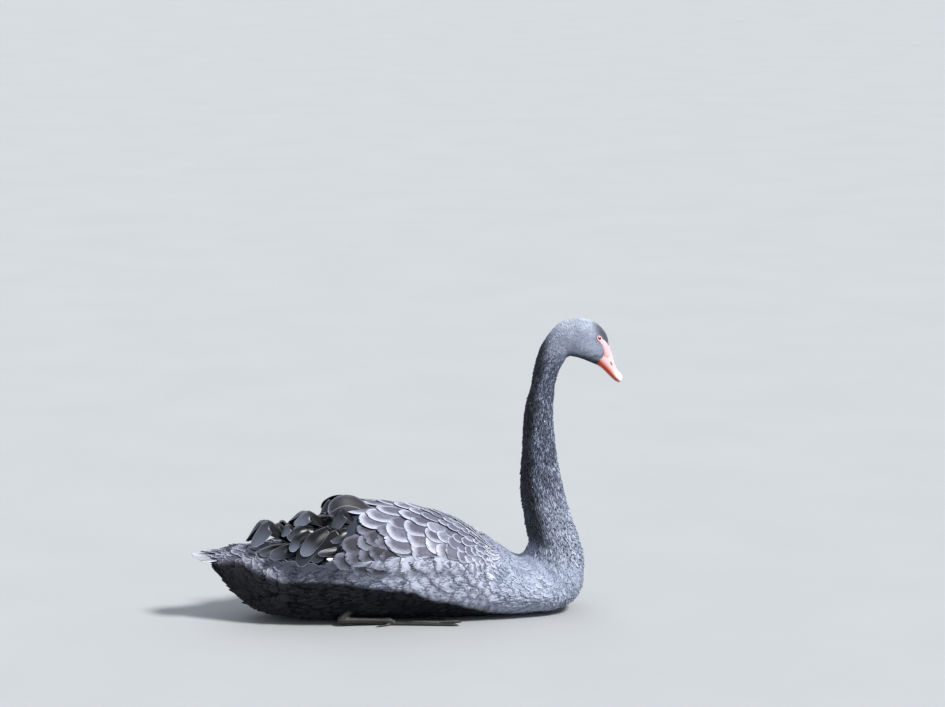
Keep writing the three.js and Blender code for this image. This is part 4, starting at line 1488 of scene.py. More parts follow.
class TuftTree:
    """A Geometry Nodes tree that sets one small closed feather on every point of a mesh.

    Its inputs are the steps along and round a feather, how far it arches down across and curls along,
    how ragged its tip is, the size of its patch on the bake map, and its material.
    """

    variants = 4
    weld = 0.0005

    def __init__(self) -> None:
        """Builds the tree."""
        self.group = bpy.data.node_groups.new("tufts", "GeometryNodeTree")
        self.sheet = NodeSheet(self.group)
        self.sockets: dict[str, str] = {}
        self._declare("Roots", "NodeSocketGeometry")
        for name, kind in (
            ("Steps Along", "NodeSocketInt"), ("Steps Round", "NodeSocketInt"), ("Arch", "NodeSocketFloat"),
            ("Curl", "NodeSocketFloat"), ("Ragged", "NodeSocketFloat"), ("Thickness", "NodeSocketFloat"),
            ("Patch", "NodeSocketFloat"), ("Finish", "NodeSocketMaterial"),
        ):
            self._declare(name, kind)
        self.group.interface.new_socket("Coat", in_out="OUTPUT", socket_type="NodeSocketGeometry")
        self._wire()

    def _declare(self, name: str, kind: str) -> None:
        """Adds an input and keeps its identifier."""
        socket = self.group.interface.new_socket(name, in_out="INPUT", socket_type=kind)
        self.sockets[name] = socket.identifier

    def _template(self, entry: Made, number: int) -> Wire:
        """One variant of the feather, along +X from its root and a unit long.

        Args:
            entry: The tree's inputs.
            number: Which variant.

        Returns:
            Its geometry as an instance.
        """
        sheet = self.sheet
        grid = sheet.add("GeometryNodeMeshGrid", None, {
            "Size X": 1.0, "Size Y": 1.0, "Vertices X": entry["Steps Along"] + 1,
            "Vertices Y": entry["Steps Round"] + 1,
        })
        share, around, _ = sheet.axes(grid["UV Map"])
        s = 1.0 - (1.0 - share) ** 1.5
        angle = around * (2 * math.pi)
        across = -angle.cosine()
        rim = angle.sine()
        closed = (s * 14.0).least(1.0)
        tip = (1.0 - s.most(0.0) ** (2.2 + 0.5 * number)).most(0.0) ** 0.5
        breadth = (0.45 + 0.55 * s.rise(0.0, 0.5)) * tip * closed
        lean = (number - 1.5) * 0.12
        ragged = (across * (7.0 + 3.1 * number) + number).sine().size() * entry["Ragged"] * s * s
        height = rim.most(-0.4) * entry["Thickness"] * breadth
        height = height - across * across * breadth * entry["Arch"]
        height = height - s * s * entry["Curl"] * (0.7 + 0.2 * number)
        sideways = across * breadth + s * s * lean
        shaped = sheet.add("GeometryNodeSetPosition", None, {
            "Geometry": grid["Mesh"], "Position": sheet.vector(s - ragged, sideways, height),
        })
        edge = (1.0 - across.size()).least((1.0 - s) * 1.6)
        stored = sheet.add(
            "GeometryNodeStoreNamedAttribute", {"data_type": "FLOAT_VECTOR", "domain": "POINT"},
            {"Geometry": shaped["Geometry"], "Name": "vane", "Value": sheet.vector(s, across, edge)},
        )
        merged = sheet.add(
            "GeometryNodeMergeByDistance", None, {"Geometry": stored["Geometry"], "Distance": self.weld},
        )
        kept = sheet.add("GeometryNodeGeometryToInstance", None, {"Geometry": merged["Geometry"]})
        return kept["Instances"]

    def _wire(self) -> None:
        """Joins the nodes of the tree."""
        sheet = self.sheet
        entry = sheet.add("NodeGroupInput")
        choice = sheet.add("GeometryNodeJoinGeometry")
        for number in reversed(range(self.variants)):
            instance = self._template(entry, number)
            self.group.links.new(instance.socket, choice.node.inputs[0])

        def read(name: str, kind: str = "FLOAT_VECTOR") -> Wire:
            """A named attribute of the roots."""
            made = sheet.add("GeometryNodeInputNamedAttribute", {"data_type": kind}, {"Name": name})
            return made["Attribute"]

        turn = sheet.add(
            "FunctionNodeAxesToRotation", {"primary_axis": "X", "secondary_axis": "Z"},
            {"Primary Axis": read("lie"), "Secondary Axis": read("outward")},
        )
        placed = sheet.add("GeometryNodeInstanceOnPoints", None, {
            "Points": entry["Roots"], "Instance": choice["Geometry"], "Pick Instance": True,
            "Instance Index": read("variant", "INT"), "Rotation": turn["Rotation"],
            "Scale": read("size"),
        })
        real = sheet.add("GeometryNodeRealizeInstances", None, {"Geometry": placed["Instances"]})
        s, across, _ = sheet.axes(read("vane"))
        root_u, root_v, _ = sheet.axes(read("bake"))
        patch = entry["Patch"]
        spot = sheet.vector(root_u + (s - 0.5) * patch, root_v + across * 0.5 * patch, 0.0)
        mapped = sheet.add(
            "GeometryNodeStoreNamedAttribute", {"data_type": "FLOAT2", "domain": "CORNER"},
            {"Geometry": real["Geometry"], "Name": "OFBake", "Value": spot},
        )
        smooth = sheet.add("GeometryNodeSetShadeSmooth", None, {"Geometry": mapped["Geometry"]})
        dressed = sheet.add(
            "GeometryNodeSetMaterial", None, {"Geometry": smooth["Geometry"], "Material": entry["Finish"]},
        )
        sheet.add("NodeGroupOutput", None, {0: dressed["Geometry"]})

    def grow(
        self, name: str, roots: Roots, finish: bpy.types.Material, seed: int, steps: tuple[int, int],
        arch: float, curl: float, ragged: float = 0.08, thickness: float = 0.04,
    ) -> bpy.types.Object:
        """Grows a coat as one plain mesh.

        Args:
            name: Name of the piece.
            roots: Where the feathers stand.
            finish: Their material.
            seed: Seed of the choice among variants.
            steps: Steps along a feather and round it.
            arch: How far its edges bend down.
            curl: How far its tip bends down.
            ragged: How ragged its tip is.
            thickness: Its thickness as a share of its length.

        Returns:
            The piece.
        """
        mesh = bpy.data.meshes.new(name)
        mesh.from_pydata((roots.points * MM).tolist(), [], [])
        rng = np.random.default_rng(seed)
        variant = rng.integers(0, self.variants, len(roots.points))
        bake = np.concatenate([roots.bake, np.zeros((len(roots.bake), 1))], axis=1)
        vectors = {"lie": roots.lie, "outward": roots.out, "size": roots.size * MM, "bake": bake}
        for key, values in vectors.items():
            store(mesh, key, "FLOAT_VECTOR", values)
        store(mesh, "tone", "FLOAT", roots.tone)
        store(mesh, "variant", "INT", variant)
        seeds = bpy.data.objects.new(name, mesh)
        bpy.context.scene.collection.objects.link(seeds)
        modifier = seeds.modifiers.new("tufts", "NODES")
        modifier.node_group = self.group
        values = {
            "Steps Along": steps[0], "Steps Round": steps[1], "Arch": arch, "Curl": curl, "Ragged": ragged,
            "Thickness": thickness, "Patch": PATCH, "Finish": finish,
        }
        for key, value in values.items():
            modifier[self.sockets[key]] = value
        make_plain(seeds, name)
        for key in (*vectors, "variant"):
            left = seeds.data.attributes.get(key)
            if left is not None:
                seeds.data.attributes.remove(left)
        keep_off_floor(seeds.data)
        return seeds


# The skin


@dataclass
class Skin:
    """One skin over the body, neck, head, wings and root of the tail, inside them by the coat's depth."""

    flesh: FleshForm
    wing: WingForm
    voxel: float = 3.0
    # how far behind the feathers' front the body of the wings starts, and the x of its end
    wing_inset: float = 6.0
    wing_end: float = -262.0
    # station number and depth of the coat there, in millimetres
    depth: tuple[tuple[float, float], ...] = (
        (0, 6), (8, 7), (12, 6), (14, 5), (20, 3.2), (23, 1.8), (28, 1.2),
    )

    def coat_depth(self, place: Array) -> Array:
        """How deep the skin lies under the outside of the coat."""
        table = np.asarray(self.depth)
        return np.interp(place, table[:, 0], table[:, 1])

    def _finish(self) -> bpy.types.Material:
        """Dark downy skin with the bird's colours, their painted highlight and painted shade included.

        Returns:
            The material.
        """
        sheet = Paint("skin_down")
        down = sheet.noise(sheet.place, 420.0, 4.0)
        markings_and_shade = MarkingsAndPaintedLight(sheet)
        dark, _ = markings_and_shade.colours()
        colour = sheet.blend(down * 0.5, sheet.vector_math("SCALE", {0: dark, "Scale": 0.55}), dark)
        # Darker where the plumage's own dark parts and painted shade lie.
        colour = sheet.blend(markings_and_shade.darkness(), colour, srgb(16, 17, 22))
        return sheet.done(colour, 0.85, down, 0.6, 0.001)

    def _flesh(self) -> tuple[Array, Array]:
        """The flesh as one closed surface.

        Returns:
            The points and triangles.
        """
        places = np.linspace(0, len(self.flesh.stations) - 1, 180)
        angles = np.linspace(0, 2 * math.pi, 72, endpoint=False)
        lift = -self.coat_depth(places)[:, None]
        return tube(self.flesh.points(places[:, None], angles[None, :], lift))

    def _wing(self, side: Side) -> tuple[Array, Array]:
        """The body of one wing under its feathers, as a closed surface.

        Args:
            side: Which wing.

        Returns:
            The points and triangles.
        """
        xs = np.linspace(self.wing.front - self.wing_inset, self.wing_end, 70)
        wraps = np.linspace(0, 1, 26)
        lift = -Wings.fall_at(xs)
        upper = self.wing.points(xs[:, None], wraps[None, :], lift[:, None])
        top, half, wide = self.wing.slice(xs)
        low = np.stack([xs, half * 0.55, mix(wide, top, 0.05)], -1)
        inner = np.stack([xs, np.zeros_like(xs), mix(wide, top, 0.2)], -1)
        rings = np.concatenate([upper, low[:, None], inner[:, None]], axis=1)
        points, faces = tube(rings)
        return (points * FLIP if side is Side.RIGHT else points), faces

    def build(self) -> bpy.types.Object:
        """Joins the surfaces into one even skin.

        Returns:
            The piece.
        """
        parts = [self._flesh(), self._wing(Side.LEFT), self._wing(Side.RIGHT)]
        finish = self._finish()
        piece = mesh_object("skin", *joined(parts), finish)
        made_even(piece, finish, self.voxel, 4)
        keep_off_floor(piece.data)
        return settle(piece, ("torso", "neck_lower", "neck_middle", "neck_upper", "head"))


# Head: bare skin, lids and eyes, and the bill


@dataclass(frozen=True)
class BareSkinFinish:
    """Bare red or pink skin or horn, with fine wrinkles and slow changes of colour."""

    name: str
    low: Colour
    high: Colour
    roughness: float = 0.42
    grain: float = 700.0
    relief: float = 0.3

    def build(self) -> bpy.types.Material:
        """Makes the material.

        Returns:
            The new material.
        """
        sheet = Paint(self.name)
        x, _, z = sheet.axes(sheet.place)
        fine = sheet.noise(sheet.place, self.grain, 3.0)
        slow = sheet.noise(sheet.place, self.grain / 8, 2.0)
        front = (x + (z - 0.52) * 0.6).rise(0.414, 0.424)
        share = (fine * 0.3 + slow * 0.5 + front * 0.6 - 0.2).most(0.0).least(1.0)
        colour = sheet.blend(share, self.low, self.high)
        return sheet.done(colour, self.roughness, fine, self.relief, 0.0004, {
            "Subsurface Weight": 0.15, "Subsurface Radius": (0.004, 0.0015, 0.001),
        })


@dataclass
class Head:
    """The bare skin between eye and bill, the lids and the eyes. Millimetres."""

    flesh: FleshForm
    eye_x: float = 407.9
    eye_z: float = 546.0
    eye_radius: float = 6.2
    eye_stand: float = 2.4
    lid_ring: float = 4.5
    lid_roll: float = 1.05
    # angles from the middle of the eye at which the pupil and the iris end, softly
    pupil: tuple[float, float] = (0.36, 0.32)
    iris: tuple[float, float] = (0.74, 0.86)
    # half the distance over which slopes are read
    probe: float = 3.0
    # how far the bare band bulges, lies under its borders and reaches into the head
    band_bulge: float = 0.9
    band_sunk: float = 0.7
    band_deep: float = 3.2
    # the bill's ridge at its root, where the lids point to
    bill_root: tuple[float, float] = (438.5, 507.5)
    # the bare band's two borders as seen from the side, from the eye to the bill
    cheek_border: tuple[tuple[float, float], ...] = (
        (402.8, 544.0), (404.6, 540.6), (409.0, 537.4), (412.9, 532.4), (416.3, 526.2), (418.0, 519.6),
        (417.3, 512.0), (414.0, 506.6), (409.0, 503.4), (404.0, 500.4),
    )
    brow_border: tuple[tuple[float, float], ...] = (
        (411.5, 545.5), (415.6, 543.4), (419.4, 541.0), (422.6, 537.8), (426.0, 533.5), (429.0, 529.0),
        (430.8, 526.0), (431.6, 521.0), (431.0, 512.0), (426.0, 504.0),
    )
    side_table: Array = field(init=False)

    def __post_init__(self) -> None:
        """Keeps a fine table of places on the left side of the head."""
        u = np.linspace(self.flesh.at("crown"), self.flesh.at("bill root") + 0.5, 420)
        v = np.linspace(0.12, 2.6, 300)
        self.side_table = self.flesh.points(u[:, None], v[None, :]).reshape(-1, 3)

    def width_at(self, x: Array, z: Array) -> Array:
        """The y of the head's left side at places seen from the side.

        Args:
            x: Places along the bird.
            z: Heights.

        Returns:
            The y of each place, in the shape of x.
        """
        spots = np.stack([x.ravel(), z.ravel()], -1)
        result = np.zeros(len(spots))
        for start in range(0, len(spots), 64):
            part = spots[start:start + 64]
            gap = ((self.side_table[None, :, [0, 2]] - part[:, None, :]) ** 2).sum(-1)
            near = np.argpartition(gap, 6, axis=1)[:, :6]
            weight = 1 / (np.take_along_axis(gap, near, 1) + 0.02)
            result[start:start + 64] = (self.side_table[near, 1] * weight).sum(1) / weight.sum(1)
        return result.reshape(x.shape)

    def outward_at(self, x: float, z: float) -> tuple[Array, Array]:
        """A place on the left side of the head and the outward direction there.

        Args:
            x: Place along the bird.
            z: Height.

        Returns:
            The place and the direction.
        """
        xs = x + self.probe * np.array([0, 1, -1, 0, 0])
        zs = z + self.probe * np.array([0, 0, 0, 1, -1])
        y = self.width_at(xs, zs)
        slope_x = (y[1] - y[2]) / (2 * self.probe)
        slope_z = (y[3] - y[4]) / (2 * self.probe)
        return np.array([x, y[0], z]), unit(np.array([-slope_x, 1.0, -slope_z]))

    def _borders(self, share: Array) -> list[list[Array]]:
        """The coordinates of the band's two borders, at shares of their length from the eye."""
        borders = (self.cheek_border, self.brow_border)
        return [curve(border, share * (len(border) - 1)) for border in borders]

    def _band(self) -> tuple[Array, Array]:
        """The bare band between eye and bill on the left side, as a closed shell.

        Returns:
            The points and squares.
        """
        cheek, brow = self._borders(np.linspace(0, 1, 41)[:, None])
        t = np.linspace(0, 1, 13)[None, :]
        x, z = (mix(start, end, t) for start, end in zip(cheek, brow))
        y = self.width_at(x, z)
        swell = self.band_bulge * np.sin(math.pi * t) ** 0.6 - self.band_sunk
        return shell(np.stack([x, y + swell, z], -1), np.stack([x, y - self.band_deep, z], -1))

    def band_mask(self, points: Array, margin: float) -> Array:
        """Which places lie on the bare band or at the eye.

        Args:
            points: Places in millimetres.
            margin: How far past the band counts too.

        Returns:
            True for each place that does.
        """
        cheek, brow = (np.stack(border, -1) for border in self._borders(np.linspace(0, 1, 60)))
        spots = points[:, [0, 2]]
        inside = np.zeros(len(spots), bool)
        outline = np.concatenate([cheek, brow[::-1]])
        following = np.roll(outline, -1, axis=0)
        for (x0, z0), (x1, z1) in zip(outline, following):
            crosses = (z0 > spots[:, 1]) != (z1 > spots[:, 1])
            at = x0 + (spots[:, 1] - z0) / (z1 - z0 + 1e-12) * (x1 - x0)
            inside ^= crosses & (spots[:, 0] < at)
        near = np.full(len(spots), np.inf)
        for start, end in zip(outline, following):
            way = end - start
            t = np.clip(((spots - start) @ way) / max(way @ way, 1e-9), 0, 1)
            near = np.minimum(near, np.linalg.norm(spots - (start + t[:, None] * way), axis=1))
        from_eye = np.hypot(spots[:, 0] - self.eye_x, spots[:, 1] - self.eye_z)
        return inside | (near < margin) | (from_eye < self.lid_ring + self.lid_roll + margin)

    def _lids(self) -> tuple[Array, Array]:
        """The ring of lids round the left eye, wider where it meets the bare band.

        Returns:
            The points and triangles.
        """
        centre, out = self.outward_at(self.eye_x, self.eye_z)
        to_bill = unit(np.array([self.bill_root[0] - self.eye_x, 0, self.bill_root[1] - self.eye_z]))
        across = unit(np.cross(out, to_bill))
        long = np.cross(across, out)
        turns = np.linspace(0, 2 * math.pi, 64, endpoint=False)
        rolls = np.linspace(0, 2 * math.pi, 16, endpoint=False)
        ring = self.lid_ring * np.stack([np.cos(turns) * 1.14, np.sin(turns) * 0.9], -1)
        swell = self.lid_roll * (1 + 0.25 * np.cos(turns) + 0.06 * np.sin(turns * 9))
        rings = []
        for (a, b), size in zip(ring, swell):
            middle = centre + long * a + across * b + out * 0.4
            outward = unit(long * a + across * b)
            circle = [middle + (outward * math.cos(r) * 1.15 + out * math.sin(r)) * size for r in rolls]
            rings.append(circle)
        return hoop(np.array(rings))

    def build(self) -> list[bpy.types.Object]:
        """Makes the bare skin, the lids and the eyes.

        Returns:
            The pieces.
        """
        band = BareSkinFinish("bare_face_skin", srgb(212, 142, 128), srgb(228, 196, 206), 0.5, 900.0, 0.5)
        lid = BareSkinFinish("eyelids", srgb(222, 180, 178), srgb(232, 214, 222), 0.45, 1100.0, 0.5)
        parts = (("lore", *self._band(), band.build()), ("lids", *self._lids(), lid.build()))
        pieces = []
        for side in Side:
            word = side.name.lower()
            for name, points, faces, finish in parts:
                if side is Side.RIGHT:
                    points, faces = points * FLIP, faces[:, ::-1]
                pieces.append(settle(mesh_object(f"{name}_{word}", points, faces, finish)))
            pieces.append(self._eye(side))
        return pieces

    def _eye(self, side: Side) -> bpy.types.Object:
        """One eyeball, with a bulging clear front.

        Args:
            side: Which eye.

        Returns:
            The piece.
        """
        place, out = self.outward_at(self.eye_x, self.eye_z)
        centre = place + out * (self.eye_stand - self.eye_radius)
        if side is Side.RIGHT:
            centre, out = centre * FLIP, out * FLIP
        polar = np.linspace(0.02, math.pi - 0.02, 40)[:, None]
        turn = np.linspace(0, 2 * math.pi, 64, endpoint=False)[None, :]
        first = unit(np.cross(out, np.array([0, 0, 1.0])))
        second = np.cross(out, first)
        bulge = self.eye_radius * (1 + 0.05 * np.exp(-(polar / 0.55) ** 2))
        ball = (
            out * (np.cos(polar) * bulge + 0 * turn)[..., None]
            + first * (np.sin(polar) * bulge * np.cos(turn))[..., None]
            + second * (np.sin(polar) * bulge * np.sin(turn))[..., None]
        )
        word = side.name.lower()
        finish = self._iris(f"eye_{word}_finish", centre, out)
        piece = mesh_object(f"eyeball_{word}", *outwards(*tube(ball + centre)), finish)
        return settle(piece, (f"eye_{word}",))

    def _iris(self, name: str, centre: Array, out: Array) -> bpy.types.Material:
        """A red iris with a black pupil under a clear front.

        Args:
            name: Name of the material.
            centre: The eyeball's centre.
            out: Where it looks.

        Returns:
            The material.
        """
        sheet = Paint(name)
        away = sheet.vector_math("SUBTRACT", {0: sheet.place, 1: tuple(centre * MM)})
        way = sheet.vector_math("NORMALIZE", {0: away})
        facing = sheet.vector_math("DOT_PRODUCT", {0: way, 1: tuple(out)}, "Value").least(1.0).most(-1.0)
        angle = facing.math("ARCCOSINE", facing)
        fibres = sheet.noise(sheet.place, 2400.0, 3.0)
        iris = sheet.blend(fibres, srgb(120, 16, 10), srgb(206, 52, 26))
        colour = sheet.blend(angle.rise(*self.pupil), iris, srgb(4, 4, 5))
        colour = sheet.blend(angle.rise(*self.iris), colour, srgb(28, 12, 12))
        return sheet.done(colour, 0.12, fibres, 0.02, 0.0001, {"Coat Weight": 1.0, "Coat Roughness": 0.02})


def shell(top: Array, low: Array) -> tuple[Array, Array]:
    """A closed shell between two like grids.

    Args:
        top: The outer grid, by row and column.
        low: The inner grid.

    Returns:
        The points and squares, with faces outwards.
    """
    rows, columns, _ = top.shape
    index = np.arange(rows * columns).reshape(rows, columns)
    under = index + rows * columns
    rim = np.concatenate([index[0, :-1], index[:-1, -1], index[-1, :0:-1], index[:0:-1, 0]])
    after = np.roll(rim, -1)
    border = np.stack([after, rim, rim + rows * columns, after + rows * columns], -1)
    points = np.concatenate([top.reshape(-1, 3), low.reshape(-1, 3)])
    return outwards(points, np.concatenate([squares(index), squares(under, True), border]))


def hoop(rings: Array) -> tuple[Array, Array]:
    """A closed ring-shaped surface through circles of points.

    Args:
        rings: Places by circle and by step.

    Returns:
        The points and squares, with faces outwards.
    """
    count, sides, _ = rings.shape
    index = np.arange(count * sides).reshape(count, sides)
    return outwards(rings.reshape(-1, 3), squares(np.pad(index, ((0, 1), (0, 1)), "wrap")))


@dataclass(frozen=True)
class BillStation:
    """A slice across the bill, from its ridge to its under side, with half its width."""

    back: tuple[float, float]
    front: tuple[float, float]
    half: float


@dataclass
class Bill:
    """The bill, parted along the mouth, with its nostrils and nail. Millimetres."""

    mouth: float = 904.8
    gap: float = 0.3
    nostril: tuple[float, float] = (434.0, 492.5)
    nostril_long: float = 5.2
    nostril_tall: float = 1.7
    nostril_deep: float = 1.8
    nostril_tilt: float = 1.05
    nail: tuple[float, float] = (455.5, 467.0)
    stations: tuple[BillStation, ...] = (
        BillStation((431, 530), (404, 491), 17),
        BillStation((438.5, 507.5), (415, 484.5), 15),
        BillStation((443.5, 490.5), (426.5, 473.5), 13.6),
        BillStation((449, 478), (437, 463), 13),
        BillStation((455, 471), (446, 455.5), 12),
        BillStation((458.5, 463.5), (452.5, 453.5), 8),
        BillStation((458, 459.5), (455.5, 455.5), 3),
    )

    def _rings(self) -> Array:
        """The whole bill's surface, before it is parted.

        Returns:
            Places by ring and side.
        """
        place = (len(self.stations) - 1) * (1 - (1 - np.linspace(0, 1, 110)) ** 1.25)
        angle = np.linspace(0, 2 * math.pi, 120, endpoint=False)[None, :]
        rows = [(*station.back, *station.front, station.half) for station in self.stations]
        back_x, back_z, front_x, front_z, half = (values[:, None] for values in curve(rows, place))
        rise = np.cos(angle)
        low = 1 + 0.12 * np.cos(angle + math.pi)
        x = (back_x + front_x) / 2 + (back_x - front_x) / 2 * rise
        z = (back_z + front_z) / 2 + (back_z - front_z) / 2 * rise
        y = np.sin(angle) * half * low
        flat = 1 - 0.05 * np.exp(-((angle - math.pi / 3.2) / 0.45) ** 2)
        flat = flat * (1 - 0.05 * np.exp(-((angle - 2 * math.pi + math.pi / 3.2) / 0.45) ** 2))
        return np.stack([x, y * flat, z], -1)

    def _nostril_share(self, x: "Array | Wire", z: "Array | Wire") -> tuple:
        """How far places lie from the nostril's middle, along and across it, where 1 is its rim.

        Args:
            x: Places along the bird, in millimetres.
            z: Heights.

        Returns:
            The two shares.
        """
        dx, dz = x - self.nostril[0], z - self.nostril[1]
        cos, sin = math.cos(self.nostril_tilt), math.sin(self.nostril_tilt)
        return (dx * cos - dz * sin) / self.nostril_long, (dx * sin + dz * cos) / self.nostril_tall

    def _carved(self, points: Array) -> Array:
        """Sinks the nostrils and raises the nail.

        Args:
            points: Places on the upper half.

        Returns:
            The places moved.
        """
        away = np.hypot(*self._nostril_share(points[:, 0], points[:, 2]))
        moved = points.copy()
        hole = smoothstep(1.15, 0.75, away)
        lip = np.exp(-((away - 1.35) / 0.25) ** 2)
        side = np.abs(points[:, 1]) > 6
        moved[:, 1] -= np.sign(points[:, 1]) * side * (hole * self.nostril_deep - lip * 0.25)
        reach = np.hypot(points[:, 0] - self.nail[0], points[:, 2] - self.nail[1])
        swell = np.exp(-((reach / 7.5) ** 2)) * np.exp(-((points[:, 1] / 6.5) ** 4)) * 0.9
        moved[:, 0] += swell * 0.75
        moved[:, 2] += swell * 0.5
        return moved

    def _half(self, upper: bool) -> tuple[Array, Array]:
        """The upper or the lower half of the bill, closed along the mouth.

        Args:
            upper: Which half.

        Returns:
            The points and triangles.
        """
        points, faces = tube(self._rings())
        over = (points[:, 0] + points[:, 2] - self.mouth) * math.sqrt(0.5)
        clear = self.gap / 2
        shift = np.maximum(0, clear - over) if upper else np.minimum(0, -clear - over)
        inward = 1 - 0.1 * smoothstep(0, 3, np.abs(shift))
        points = points * np.stack([np.ones_like(inward), inward, np.ones_like(inward)], -1)
        points[:, 0] += shift * math.sqrt(0.5)
        points[:, 2] += shift * math.sqrt(0.5)
        if upper:
            points = self._carved(points)
        return points, faces

    def _finish(self) -> bpy.types.Material:
        """Red horn, dark red under the mouth line as painted shade and paling towards the ridge as a
        painted highlight, with a pale band near the tip and a pale nail.

        Returns:
            The material.
        """
        sheet = Paint("bill_horn")
        x, _, z = sheet.axes(sheet.place)
        fine = sheet.noise(sheet.place, 900.0, 3.0)
        slow = sheet.noise(sheet.place, 110.0, 2.0)
        over = (x + z - self.mouth * MM) * math.sqrt(0.5) + (slow - 0.5) * 0.002
        tip = x - z + (slow - 0.5) * 0.003
        speck = sheet.noise(sheet.place, 420.0).rise(0.6, 0.74)
        lengthwise, crosswise = self._nostril_share(x * (1 / MM), z * (1 / MM))
        hole = (lengthwise * lengthwise + crosswise * crosswise).rise(1.2, 0.5)
        # Painted shade: this dark red is left on the lower half, below the mouth line.
        colour = srgb(150, 54, 44)
        for share, tint in (
            (over.rise(-0.003, 0.0005), srgb(222, 84, 46)),
            # Painted highlight: these two pinks pale the upper half towards the ridge.
            (over.rise(0.0022, 0.0062), srgb(228, 160, 142)),
            (over.rise(0.0055, 0.0105), srgb(226, 196, 198)),
            (tip.rise(-0.05, -0.012) * over.rise(0.001, 0.005), srgb(232, 222, 226)),
            (tip.rise(-0.014, -0.006) * over.rise(0.002, -0.001), srgb(196, 116, 116)),
            (speck * 0.14, srgb(170, 80, 70)),
            # Painted shade in the hollow of the nostril.
            (hole * 0.7, srgb(150, 70, 64)),
        ):
            colour = sheet.blend(share, colour, tint)
        return sheet.done(colour, 0.34 + (fine - 0.5) * 0.15, fine, 0.25, 0.0003, {
            "Coat Weight": 0.12, "Coat Roughness": 0.25,
        })

    def build(self) -> list[bpy.types.Object]:
        """Makes the two halves.

        Returns:
            The pieces.
        """
        finish = self._finish()
        pieces = []
        for upper, word in ((True, "upper"), (False, "lower")):
            piece = mesh_object(f"bill_horn_{word}", *outwards(*self._half(upper)), finish)
            pieces.append(settle(piece, (f"bill_{word}",)))
        return pieces


# Wings, flanks, rump and tail


